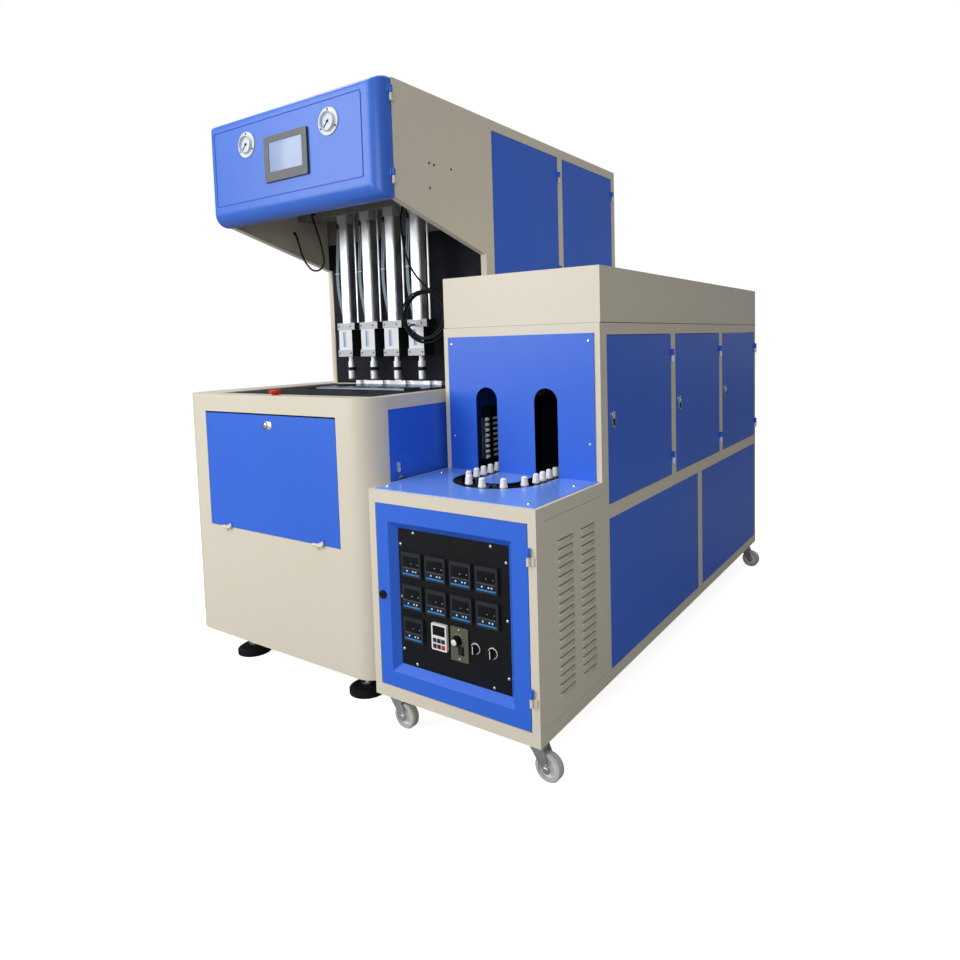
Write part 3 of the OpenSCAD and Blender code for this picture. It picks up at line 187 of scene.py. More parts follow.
def make_materials(paint):
    """Makes every finish once; the colours that a user may change come from the panel."""
    m = MATERIALS
    # Pale warm grey with a soft gloss, which turns olive grey in shade
    m["cabinet"] = powder_coat("Powder coated steel, warm grey", hex_of(paint.cabinet), "#d8d0be")
    # Strong even blue with a soft gloss, navy in shade
    m["blue"] = powder_coat("Powder coated steel, royal blue", hex_of(paint.panel), "#2a63d4", 0.36)
    # The same blue, smoother, with a long highlight along each round edge
    m["cover"] = powder_coat("Vacuum formed cover, painted royal blue", hex_of(paint.cover), "#366ace", 0.3)
    # Wiped to a gloss that mirrors what stands on it and the room; its blue is also painted paler than the doors',
    # a painted reflection of the lit room
    m["table"] = powder_coat("Powder coated steel, royal blue, wiped glossy", "#6f99f2", "#668fe8", 0.2)
    # Nearly black, with a faint blue sheen at a low angle
    m["dark"] = fine_grit("Powder coated steel, blue black, matt", "#0a0f1c", 0.6, 4.0, 0.02)
    # Flat mid grey that falls back behind the bright parts
    m["structure"] = powder_coat("Painted structural steel, mid grey", "#8b8b86", "#7c7c78", 0.55)
    # Dusty blue grey with the thick even skin of enamel
    m["motor"] = powder_coat("Enamelled cast iron, blue grey", "#4a6d8c", "#3f5f7c", 0.45)
    # Cool grey with fine lines, bright only at one angle
    m["tool_steel"] = ground_metal("Tool steel, surface ground", "#8f9cab", 0.34, (1, 12, 12))
    # Light grey metal with a soft streak along each rod
    m["bright"] = ground_metal("Stainless steel, satin ground", "#d3d4d6", 0.33, (1, 8, 8), 1.5, 0.004)
    # Silky white metal without a sharp reflection
    m["satin"] = ground_metal("Turned aluminium, satin anodised", "#f0f1f2", 0.52, (6, 6, 6), 1.0, 0.004)
    # A mirror with dark and bright halves, as it reflects floor and room
    m["chrome"] = ground_metal("Bright chrome plate on brass", "#dfe1e4", 0.08, (1, 1, 1), 6.0, 0.004)
    # White metal with a wide upright streak and the long lines of the die
    m["aluminium"] = ground_metal("Anodised aluminium extrusion, clear", "#e9ebed", 0.38, (10, 10, 0.4), 1.2, 0.02)
    # Grey metal with cloudy patches from the bath
    m["zinc"] = ground_metal("Zinc plated sheet steel", "#b9bdc0", 0.42, (1, 1, 1), 14.0, 0.02)
    # Black with a soft grey sheen
    m["black"] = fine_grit("Moulded ABS, black", "#141416", 0.4)
    # Deep black that takes almost no highlight
    m["plate"] = fine_grit("Anodised instrument plate, matt black", "#0b0d12", 0.6, 0.8, 0.01)
    # Charcoal with a fine even texture
    m["grey"] = fine_grit("Moulded polycarbonate, dark grey", "#2a2c31", 0.34)
    # Warning red, glossy enough for a small highlight
    m["red"] = fine_grit("Moulded polycarbonate, signal red", "#c9241c", 0.3, 2.0, 0.01)
    # Pure white, slightly waxy
    m["white"] = fine_grit("Turned acetal, white", "#fbfcfd", 0.35, 2.5, 0.02)
    # White that is a little grey beside the acetal
    m["cream"] = fine_grit("Moulded ABS, off white", "#e3e4e1", 0.4)
    # Dull black without a highlight
    m["rubber"] = fine_grit("Moulded rubber, black", "#17171a", 0.75, 1.2, 0.05)
    # Pale grey and chalky
    m["tread"] = fine_grit("Cast polyurethane tread, grey", "#bdbcb8", 0.55, 1.5, 0.03)
    # Black with a thin highlight that follows every bend
    m["cable"] = fine_grit("Extruded cable sheath, black", "#0f1012", 0.42, 2.0, 0.02)
    # Small saturated blue collars
    m["blue_plastic"] = fine_grit("Moulded push-in fitting, blue", "#2b55a8", 0.35)
    # Milky and half clear, so that the dark bay shows through
    m["hose"] = clear_skin("Extruded polyurethane hose, pale blue", "#b9c7d2", 0.25, 8.0, 0.01,
                           Transmission_Weight=0.35, IOR=1.5)
    # Warm white with a glassy highlight along the tube
    m["quartz"] = clear_skin("Drawn quartz tube with white reflector coat", "#f4f1ea", 0.18, 8.0, 0.01,
                             Coat_Weight=0.6)
    # Bluish white with the soft shine of the glass before it
    m["dial"] = fine_grit("Printed dial behind flat glass, pale blue white", "#d3def0", 0.25, 4.0, 0.003)
    # Light grey ring that sets the dial off from its white flange
    m["bezel_ring"] = fine_grit("Moulded gauge rim, light grey", "#b9bec8", 0.3, 3.0, 0.004)
    # Bright silver white faces between the duller caps
    m["block"] = powder_coat("Die cast aluminium, painted silver white", "#eef0f2", "#e4e8eb", 0.4)
    # A shade greyer than the block
    m["cap"] = powder_coat("Die cast end cap, painted light grey", "#c9cccf", "#c0c3c7", 0.45)
    # Thin dark lines where sheets meet, and painted shade behind the louvres' slots
    m["seam"] = fine_grit("Joint shadow and sealant, dark grey", "#4a473f", 0.7, 2.0, 0.01)
    # Small bright dots on the panels
    m["nickel"] = ground_metal("Steel screw heads, white passivated", "#e8e9ea", 0.3, (1, 1, 1), 3.0, 0.01)
    # Dark blue band that only shows beside black
    m["navy_film"] = fine_grit("Printed film, navy", "#10243f", 0.3, 3.0, 0.004)
    # Hairline of mid grey
    m["grey_line"] = fine_grit("Printed line, grey", "#75716a", 0.45, 3.0, 0.004)
    # Mid grey frame round the touch screen
    m["bezel"] = fine_grit("Moulded polycarbonate, mid grey", "#68696b", 0.38)
    # Dull greenish grey with a metal's even tone
    m["olive"] = powder_coat("Anodised aluminium plate, olive grey", "#5f5f4c", "#55554a", 0.45)
    # Warm grey sheet, dim in the depth of the bay
    m["grey_sheet"] = powder_coat("Powder coated steel, shaded grey", "#8b8880", "#817e76", 0.5)
    # Clear mid blue stripe
    m["ink_blue"] = fine_grit("Printed film, blue", "#2f7fc4", 0.35, 3.0, 0.005)
    # Light blue stripe, washed out by the white round it
    m["label_blue"] = fine_grit("Printed label film, light blue", "#5f9fdc", 0.45, 3.0, 0.003)
    # Fine black marks
    m["ink_black"] = fine_grit("Printed scale, black", "#1c1e22", 0.5, 3.0, 0.005)
    # Black and glassy, with sharp small reflections
    m["window"] = fine_grit("Acrylic window, smoke tinted", "#0d0e12", 0.12, 6.0, 0.003)
    # An even pale blue that stays light in shade
    m["lit"] = clear_skin("Lit display behind matt glass", "#8a9dc0", 0.3, 1.5, 0.004,
                          Emission_Strength=0.10, Emission_Color=linear("#a9c1ea"), Coat_Weight=0.15)


def hex_of(colour):
    """sRGB hex value of a colour from the panel, which holds linear values."""
    srgb = [c * 12.92 if c <= 0.0031308 else 1.055 * c ** (1 / 2.4) - 0.055 for c in colour]
    return "#" + "".join("%02x" % round(255 * min(max(c, 0), 1)) for c in srgb)


NODE_FINISH = {
    "cabinet": "blower_casing head_casing heater_frame heater_hood vent_panel",
    "blue": "front_door side_covers column_door_front column_door_rear column_left_covers arch_panel "
            "control_door side_door_front side_door_middle side_door_rear fixed_panels",
    "cover": "head_cover",
    "table": "heater_table",
    "dark": "bay_deck bay_wall oven_deck lamp_boxes",
    "structure": "blower_base cylinder_beam front_platen rear_platen clamp_frame",
    "motor": "chain_drive",
    "tool_steel": "front_mould rear_mould",
    "bright": "stretch_rods",
    "satin": "blow_nozzles neck_bar",
    "chrome": "rotary_switch_left rotary_switch_right",
    "cream": "gauge_housings",
    "aluminium": "blow_cylinders clamp_cylinders",
    "zinc": "caster_fork_fl caster_fork_fr caster_fork_rl caster_fork_rr",
    "black": "needle_left needle_right speed_knob door_lock",
    "plate": "control_panel",
    "grey": "touch_screen panel_instruments",
    "red": "stop_button",
    "white": "preform_holders",
    "rubber": "levelling_feet",
    "tread": "caster_wheel_fl caster_wheel_fr caster_wheel_rl caster_wheel_rr",
    "cable": "cables cable_coil",
    "hose": "air_hoses",
    "quartz": "heat_lamps",
}


def finish_nodes():
    """Gives every frame node its finish and smooth shading on its round faces."""
    for key, names in NODE_FINISH.items():
        for name in names.split():
            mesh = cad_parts[name].data
            mesh.materials.clear()
            mesh.materials.append(MATERIALS[key])
            smooth(mesh)


def paint_faces(name, key, test):
    """Gives the faces of a node whose centre and normal pass the test a second finish."""
    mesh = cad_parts[name].data
    mesh.materials.append(MATERIALS[key])
    for polygon in mesh.polygons:
        if test(polygon.center, polygon.normal):
            polygon.material_index = len(mesh.materials) - 1


# Heights in metres that part the finishes of the blow cylinders
BLOCK_TOP = 1.2075
BLOCK_CAPS = ((1.077, 1.103), (1.181, 1.207))
TUBE_CAP_LOW = 1.5905
# The front door's lock and the oven doors' catches lie above this height
LOCK_LOW = 0.85


def second_finishes():
    """Finishes of nodes that are made of more than one stuff, told apart by where their faces lie."""
    before_panel = PANEL_Y + 0.0005
    caps_low = HEATER_TABLE_Z - 0.01
    chain_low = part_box("preform_holders")[0][2] - 0.03
    leaves_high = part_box("front_door")[0][2] + 0.016
    paint_faces("touch_screen", "bezel", lambda c, n: n.y < -0.9)
    paint_faces("preform_holders", "tool_steel", lambda c, n: c.z < caps_low)
    # Left the keypad, right the speed plate
    for key, left, right, top in (("cream", 0.2055, 0.2585, 0.3565), ("olive", 0.2685, 0.3275, 0.3605)):
        paint_faces("panel_instruments", key, lambda c, n, left=left, right=right, top=top:
                    HX0 + left < c.x < HX0 + right and c.z < top and c.y < before_panel)
    for side in ("left", "right"):
        paint_faces("rotary_switch_" + side, "black", lambda c, n: c.y < PANEL_Y - 0.0035)
    for door in SIDE_DOORS:
        paint_faces("side_door_" + door, "chrome", lambda c, n: c.x > HX1 + 0.0012 and LOCK_LOW < c.z < 0.915)
    # The bare knuckles of the oven doors' hinges, on the frame, take the pale block finish: a painted highlight
    # for the light their fronts catch
    paint_faces("heater_frame", "block", lambda c, n: c.x > HX1 + 0.0015 and c.z > 0.45)
    paint_faces("front_door", "chrome", lambda c, n: c.y < BY0 - 0.0005 and c.z > LOCK_LOW)
    paint_faces("side_covers", "chrome", lambda c, n: abs(c.x - (BX0 + BX1) / 2) > (BX1 - BX0) / 2 + 0.0012)
    paint_faces("levelling_feet", "bright", lambda c, n: c.z > 0.03)
    # The nozzles' sealing discs
    paint_faces("blow_nozzles", "black", lambda c, n: TABLE_Z + 0.0575 < c.z < TABLE_Z + 0.0705)
    paint_faces("chain_drive", "structure", lambda c, n: c.z > chain_low)
    paint_faces("blow_cylinders", "block", lambda c, n: c.z < BLOCK_TOP)
    # The blocks' right faces are painted black: partly painted shade of the block's side in shadow, partly the
    # dark guide block that stands beside it
    paint_faces("blow_cylinders", "black", lambda c, n: c.z < BLOCK_TOP and n.x > 0.9)
    paint_faces("blow_cylinders", "cap", lambda c, n: c.z > TUBE_CAP_LOW)
    for low, high in BLOCK_CAPS:
        paint_faces("blow_cylinders", "cap", lambda c, n, low=low, high=high: low < c.z < high and n.y < -0.9)
    # The hinge leaves at the door's lower edge take the pale cabinet finish, a painted highlight along that edge
    paint_faces("front_door", "cabinet", lambda c, n: c.z < leaves_high and c.y < BY0 - 0.001)
    for corner in CASTERS:
        # The hub is paler than the tread
        at = mid("caster_wheel_" + corner)
        paint_faces("caster_wheel_" + corner, "cream",
                    lambda c, n, at=at: math.hypot(c.x - at.x, c.z - at.z) < 0.0255)


def mid(name):
    """Centre of a node's box."""
    low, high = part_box(name)
    return (Vector(low) + Vector(high)) / 2


def smooth(mesh, angle=35):
    """Smooth shading across edges flatter than the angle."""
    for polygon in mesh.polygons:
        polygon.use_smooth = True
    mesh.set_sharp_from_angle(angle=math.radians(angle))


class Builder:
    """Collects boxes, turned shapes and skins, in metres, in one mesh."""

    def __init__(self):
        self.bm = bmesh.new()

    def box(self, low, high, bevel=0.0):
        """A box between two corners, with its edges rounded."""
        made = bmesh.ops.create_cube(self.bm, size=1.0)["verts"]
        for v in made:
            v.co = Vector(low[i] if v.co[i] < 0 else high[i] for i in range(3))
        if bevel:
            edges = list({e for v in made for e in v.link_edges})
            bmesh.ops.bevel(self.bm, geom=edges, offset=bevel, segments=2, affect="EDGES", profile=0.6)
        return self

    def turn(self, centre, axis, profile, segments=32, hollow=False):
        """A shape turned about an axis; the profile lists radius and height in millimetres.

        A hollow shape is a ring, whose profile closes on itself.
        """
        axis = Vector(axis).normalized()
        side = axis.orthogonal().normalized()
        other = axis.cross(side)
        centre = Vector(centre)
        rings = []
        for r, h in profile:
            at = centre + axis * h / 1000
            if r <= 0:
                rings.append([self.bm.verts.new(at)])
                continue
            rings.append([self.bm.verts.new(at + r / 1000 * (
                side * math.cos(2 * math.pi * i / segments) + other * math.sin(2 * math.pi * i / segments)))
                for i in range(segments)])
        for a, b in zip(rings, rings[1:] + rings[:1] if hollow else rings[1:]):
            for i in range(segments):
                j = (i + 1) % segments
                if len(a) == 1:
                    self.bm.faces.new((a[0], b[j], b[i]))
                elif len(b) == 1:
                    self.bm.faces.new((a[i], a[j], b[0]))
                else:
                    self.bm.faces.new((a[i], a[j], b[j], b[i]))
        for ring, flip in ((rings[0], True), (rings[-1], False)):
            if len(ring) > 1 and not hollow:
                self.bm.faces.new(ring[::-1] if flip else ring)
        return self

    def rings(self, rings):
        """A skin over rings of points that have the same count, closed at both ends."""
        made = [[self.bm.verts.new(p) for p in ring] for ring in rings]
        n = len(made[0])
        for a, b in zip(made, made[1:]):
            for i in range(n):
                j = (i + 1) % n
                self.bm.faces.new((a[i], a[j], b[j], b[i]))
        self.bm.faces.new(made[0][::-1])
        self.bm.faces.new(made[-1])
        return self

    def ovals(self, x, y, z, rows, way=1):
        """A skin over ovals across X; a row gives the way out, half width, half height and corner."""
        return self.rings([[Vector((x + way * out, p.x, p.z)) for p in
                            rounded_ring(y - w, y + w, z - h, z + h, r, 0)] for out, w, h, r in rows])

    def slab(self, quad, outs):
        """A thin plate over a quad that stands across Y, between two distances before it."""
        return self.rings([[q + Vector((0, -out, 0)) for q in quad] for out in outs])

    def screw(self, centre, axis, radius):
        """A domed socket screw head standing on a surface; the radius is in millimetres."""
        self.turn(centre, axis, [(radius * r, radius * h) for r, h in SCREW_DOME], 24)
        return self.turn(centre, axis, [(radius * r, radius * h) for r, h in SCREW_SOCKET], 6)

    def mesh(self, name):
        """The shapes as one mesh, which ends the builder."""
        mesh = bpy.data.meshes.new(name)
        self.bm.to_mesh(mesh)
        self.bm.free()
        return mesh

    def finish(self, name, finish, body, slot, angle=35):
        """Makes the piece, with its finish, and lets it ride on its body."""
        bmesh.ops.recalc_face_normals(self.bm, faces=self.bm.faces)
        mesh = self.mesh(name)
        mesh.materials.append(MATERIALS[finish])
        smooth(mesh, angle)
        return place_piece(name, mesh, body)


# Radius and height of a screw head, as shares of its radius
SCREW_DOME = ((1.0, 0.0), (1.0, 0.12), (0.93, 0.34), (0.74, 0.55), (0.5, 0.64))
SCREW_SOCKET = ((0.5, 0.641), (0.42, 0.641), (0.4, 0.3), (0.0, 0.3))


def place_piece(name, data, body):
    """Makes an object of a mesh or curve, riding on its body."""
    piece = bpy.data.objects.new(name, data)
    bpy.context.scene.collection.objects.link(piece)
    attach(piece, body)
    return piece


def rounded_ring(x0, x1, z0, z1, r, y, steps=8):
    """Points round a rectangle with round corners, standing across Y, in metres."""
    ring = []
    corners = ((x1 - r, z1 - r, 0), (x0 + r, z1 - r, 90), (x0 + r, z0 + r, 180), (x1 - r, z0 + r, 270))
    for cx, cz, start in corners:
        for i in range(steps + 1):
            a = math.radians(start + 90 * i / steps)
            ring.append(Vector((cx + r * math.cos(a), y, cz + r * math.sin(a))))
    return ring


def curve_through(points, steps=4):
    """Points along a smooth curve through the given ones."""
    out = []
    for k in range(len(points) - 1):
        a = points[max(k - 1, 0)]
        b, c = points[k], points[k + 1]
        d = points[min(k + 2, len(points) - 1)]
        for i in range(steps):
            t = i / steps
            out.append(b + 0.5 * ((c - a) * t + (2 * a - 5 * b + 4 * c - d) * t ** 2
                                  + (3 * b - a - 3 * c + d) * t ** 3))
    out.append(points[-1])
    return out


def cord_curve(name, points, radius, finish, body):
    """A round cord on one open spline."""
    data = bpy.data.curves.new(name, "CURVE")
    data.dimensions = "3D"
    data.bevel_depth = radius
    data.bevel_resolution = 3
    data.use_fill_caps = True
    spline = data.splines.new("POLY")
    spline.points.add(len(points) - 1)
    for p, co in zip(spline.points, points):
        p.co = (*co, 1.0)
    data.materials.append(MATERIALS[finish])
    return place_piece(name, data, body)


def spoke(at, angle, inner, outer, half):
    """Corners of one mark of a round scale, between two radii."""
    along = Vector((math.cos(angle), 0, math.sin(angle)))
    across = Vector((-math.sin(angle), 0, math.cos(angle))) * half
    return [at + along * inner - across, at + along * inner + across,
            at + along * outer + across, at + along * outer - across]


def metres(name, description, default, low, high):
    """A length that a user may change."""
    return FloatProperty(name=name, description=description, default=default, min=low, max=high,
                         subtype="DISTANCE", unit="LENGTH")


def paint_colour(name, description, default):
    """A colour that a user may change."""
    return FloatVectorProperty(name=name, description=description, default=linear(default)[:3], size=3,
                               min=0, max=1, subtype="COLOR")


class PaintSettings(bpy.types.PropertyGroup):
    """Colours of the painted parts."""
    cabinet: paint_colour("Cabinet", "Warm grey of the cabinets and frames", "#dcd4c3")
    panel: paint_colour("Panels", "Blue of the doors and panels", "#2f6be0")
    cover: paint_colour("Head cover", "Blue of the moulded head cover", "#3a6fd6")


class CordSettings(bpy.types.PropertyGroup):
    """Sizes of the black cables in the bay."""
    diameter: metres("Cable diameter", "Outside diameter of the cable", 0.007, 0.004, 0.010)
    coil_radius: metres("Coil radius", "Mean radius of the tied coil", 0.086, 0.060, 0.100)
    lean: FloatProperty(name="Coil lean", description="Turn of the coil about the vertical",
                        default=math.radians(12), min=0.0, max=math.radians(30), subtype="ANGLE", unit="ROTATION")
    turns: IntProperty(name="Turns in the coil", description="Turns of spare cable in the tied coil", default=4,
                       min=2, max=4)


class CoverSettings(bpy.types.PropertyGroup):
    """Sizes of the moulded head cover."""
    left: metres("Left edge", "Width of the rounded left edge", 0.014, 0.008, 0.052)
    right: metres("Right edge", "Width of the rounded right edge", 0.052, 0.008, 0.060)
    above: metres("Upper edge", "Width of the rounded upper edge", 0.024, 0.008, 0.052)
    below: metres("Lower edge", "Width of the rounded lower edge", 0.048, 0.008, 0.060)
    step: metres("Frame line", "Depth of the embossed line round the panel", 0.0026, 0.001, 0.003)
    wall: metres("Wall", "Thickness of the moulded sheet", 0.004, 0.002, 0.006)


class VentSettings(bpy.types.PropertyGroup):
    """Sizes of the louvres in the side of the control cabinet."""
    rows: IntProperty(name="Rows", description="Louvres in each of the two columns", default=18, min=8, max=20)
    pitch: metres("Pitch", "Distance from one louvre to the next", 0.0237, 0.020, 0.025)
    width: metres("Width", "Length of each louvre along the panel", 0.083, 0.060, 0.100)
    slot: metres("Slot", "Height of the opening above each louvre", 0.0030, 0.002, 0.004)
    lift: metres("Lift", "How far each louvre stands out of the sheet", 0.0045, 0.002, 0.0048)
    rise: metres("Rise", "Height of each pressed louvre", 0.012, 0.008, 0.015)


class StageSettings(bpy.types.PropertyGroup):
    """Light and camera."""
    lamp_power: FloatProperty(name="Lamp power", description="Power of the large soft lamps", subtype="POWER",
                              default=196.0, min=10.0, max=2000.0)
    room: FloatProperty(name="Room light", description="Strength of the even light from the room", default=0.30,
                        min=0.0, max=2.0)


class BLOWMOULDER_OT_finishes(bpy.types.Operator):
    """Make the finishes and put them on the frame's nodes"""
    bl_idname = "blowmoulder.finishes"
    bl_label = "Finishes"

    def execute(self, context):
        make_materials(context.scene.blowmoulder_paint)
        finish_nodes()
        second_finishes()
        return {"FINISHED"}


# Routes of the cables in millimetres from the bay's corner. They follow the CAD's points, with the
# bends near the ends rounded, and lie up to about 10 mm beside them there.
LOOP = ((100, 320, 676), (101, 312.3, 674.5), (103, 305.9, 670.1), (106, 301.5, 663.7), (110, 300, 656),
        (118, 300, 638), (150, 298, 560), (166, 298, 492), (158, 298, 463), (125, 300, 450), (85, 300, 462),
        (45, 300, 510), (22, 300, 570), (18, 300, 583), (13, 300, 595), (8.5, 300, 602), (3, 300, 606))
DROP = ((600, 320, 676), (600, 310, 675), (599, 299, 670), (597, 289, 659), (595, 282, 641), (592, 271, 600),
        (596, 268, 540), (604, 272, 480), (616, 280, 430), (636, 288, 392), (656, 294, 368), (666, 296, 356))
TAIL = ((592, 298, 208), (588, 300.1, 215), (585, 306, 220), (584, 314, 222), (582.5, 325, 222.6),
        (582, 334.5, 223))


def coil_points(cords):
    """Points of the tied coil, which leans about the vertical and spreads along its axis."""
    centre = bay(668, 296, 250)
    across = Vector((math.cos(cords.lean), math.sin(cords.lean), 0))
    through = Vector((-math.sin(cords.lean), math.cos(cords.lean), 0))
    up = Vector(UP)
    # The coil starts near its top, and goes on for more than half a turn after its whole turns
    start, steps, rest = math.radians(74), 32, 20
    total = cords.turns * steps + rest
    coil = []
    for i in range(total):
        share = i / (total - 1)
        a = start - 2 * math.pi * i / steps
        # Each turn hangs a little wider or lower than the last, as tied spare cable does
        out = cords.coil_radius + 0.007 * math.sin(a * 0.31 + 0.6) + 0.004 * math.sin(a * 1.27)
        sag = 0.006 * math.sin(a * 0.23)
        coil.append(centre + out * (across * math.cos(a) + up * math.sin(a)) - up * sag
                    + through * (share - 0.5) * cords.turns * cords.diameter * 1.25)
    return coil


class BLOWMOULDER_OT_cables(bpy.types.Operator):
    """Lay the hanging loop and the cable with its tied coil"""
    bl_idname = "blowmoulder.cables"
    bl_label = "Cables"

    def execute(self, context):
        cords = context.scene.blowmoulder_cords
        d = cords.diameter
        points = curve_through([bay(*p) for p in LOOP])
        piece = cord_curve("hanging_cable", points, d / 2, "cable", "machine")
        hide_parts("cables")
        coil = coil_points(cords)
        tail = curve_through(coil[-2:] + [bay(*p) for p in TAIL], 3)[4:]
        route = curve_through([bay(*p) for p in DROP] + coil[:1], 3)[:-1] + coil + tail
        piece = cord_curve("coiled_cable", route, d / 2, "cable", "machine")
        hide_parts("cable_coil")
        # Each cable passes through a small rubber bush where it leaves the beam or enters a sheet
        bushes = Builder()
        r = d * 500
        bush = [(r + 0.2, 0), (r + 3.6, 0), (r + 3.6, 1.6), (r + 2.0, 3.0), (r + 0.9, 6.5), (r + 0.2, 6.5)]
        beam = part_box("cylinder_beam")[0][1]
        for at, axis in ((Vector((points[0].x, beam, points[0].z - 0.0015)), FRONT),
                         (Vector((route[0].x, beam, route[0].z - 0.0010)), FRONT),
                         (bay(1.6, 300, 606), (1, 0, -0.3))):
            bushes.turn(at, axis, bush, 20, True)
        bushes.finish("cable_bushes", "rubber", "machine", "black_plastic", 50)
        return {"FINISHED"}


class BLOWMOULDER_OT_head_cover(bpy.types.Operator):
    """Mould the head cover with its rounded edge and embossed line"""
    bl_idname = "blowmoulder.head_cover"
    bl_label = "Head cover"

    def execute(self, context):
        sizes = context.scene.blowmoulder_cover
        low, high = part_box("head_cover")
        back = QY0 - 0.001
        depth = back - low[1]
        # The lip stands straight, and the embossed line runs inside the rounded edge
        lip, line, steps = 0.010, 0.013, 12

        def ring(turn, inset, out, wall=0.0):
            """One ring of the skin; turn runs from 0 at the lip to 1 where the front begins."""
            curl = 1 - math.cos(math.pi / 2 * turn)
            left, right, below, above = (side * curl + inset + wall for side in (
                sizes.left, sizes.right, sizes.below, sizes.above))
            corner = max(0.010 - 0.004 * turn - wall, 0.002)
            return rounded_ring(QX0 + left, QX1 - right, low[2] + below, high[2] - above, corner, back - out)

        profile = [(0, 0, 0.0)]
        profile += [(i / steps, 0, lip + (depth - lip) * math.sin(math.pi / 2 * i / steps))
                    for i in range(steps + 1)]
        profile += [(1, line, depth), (1, line + 0.0015, depth - sizes.step),
                    (1, line + 0.0035, depth - sizes.step), (1, line + 0.0050, depth)]
        # The skin runs from the inside of the front to the lip, and outside back to the front
        inner = [ring(turn, inset, max(out - sizes.wall, 0.0), sizes.wall) for turn, inset, out in profile[::-1]]
        build = Builder().rings(inner + [ring(*row) for row in profile])
        for z in (1.620, 1.860):
            build.turn((QX1 + 0.0055, QY0 - 0.008, z), UP, [(3.2, 0.3), (5.5, 0.3), (5.5, 22), (3.2, 22)], 24)
            build.box((QX1 - 0.008, QY0 - 0.019, z), (QX1 + 0.004, QY0 - 0.012, z + 0.022), 0.0008)
        piece = build.finish("moulded_cover", "cover", "head_cover", "blue_paint", 50)
        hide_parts("head_cover")
        return {"FINISHED"}


class BLOWMOULDER_OT_head_instruments(bpy.types.Operator):
    """Put the display with its seal, and the gauges' scales, dials, rims and screws, on the head"""
    bl_idname = "blowmoulder.head_instruments"
    bl_label = "Head instruments"

    def execute(self, context):
        y = COVER_Y
        # Heights on the cover are given from 350 mm below the head's top
        z0 = HEAD_Z - 0.350
        display = Builder().box((QC - 0.0795, y - 0.0056, z0 + 0.1345), (QC + 0.0795, y - 0.0049, z0 + 0.2295),
                                0.0003)
        display.finish("display", "lit", "head_cover", "lamp_glass")
        # Half width, foot, top, corner and depth of each ring of the seal
        rows = ((0.1045, 0.104, 0.250, 0.0055, y + 0.0002), (0.1055, 0.103, 0.251, 0.0060, y - 0.0016),
                (0.1038, 0.1042, 0.2498, 0.0050, y - 0.0030))
        seal = Builder().rings([rounded_ring(QC - w, QC + w, z0 + a, z0 + b, r, at) for w, a, b, r, at in rows])
        seal.finish("display_seal", "black", "head_cover", "black_plastic")
        for side, name in ((-1, "left"), (1, "right")):
            self.gauge(Vector((QC + side * 0.199, y, HEAD_Z - 0.104)), name)
        return {"FINISHED"}

    def gauge(self, at, name):
        """The scale of 50 parts over 270 degrees, the dial, the rim and the flange's screws."""
        parts, sweep, scale_r = 50, 270, 0.0245
        marks = Builder()
        for i in range(parts + 1):
            long = 0.0055 if i % 10 == 0 else 0.0036 if i % 5 == 0 else 0.0022
            half = 0.00025 if i % 10 == 0 else 0.000125
            marks.slab(spoke(at, math.radians(225 - sweep * i / parts), scale_r - long, scale_r, half),
                       (0.0041, 0.0044))
        marks.finish("gauge_scale_" + name, "ink_black", "head_cover", "black_plastic")
        dial = Builder().turn(at + Vector((0, -0.0037, 0)), FRONT,
                              [(26.8, 0), (26.8, 0.35), (26.4, 0.5), (0, 0.5)], 48)
        dial.finish("gauge_dial_" + name, "dial", "head_cover", "white_plastic", 60)
        rim = Builder().turn(at + Vector((0, -0.0098, 0)), FRONT,
                             [(26.9, 0), (30.2, 0), (30.2, 0.7), (29.0, 1.5), (27.4, 1.5), (26.9, 0.9)], 64, True)
        rim.finish("gauge_rim_" + name, "bezel_ring", "head_cover", "chrome", 60)
        screws = Builder()
        for a in (math.radians(degrees) for degrees in (90, 210, 330)):
            screws.screw(at + Vector((0.036 * math.cos(a), -0.003, 0.036 * math.sin(a))), FRONT, 3.4)
        screws.finish("gauge_screws_" + name, "black", "head_cover", "bright_steel", 60)


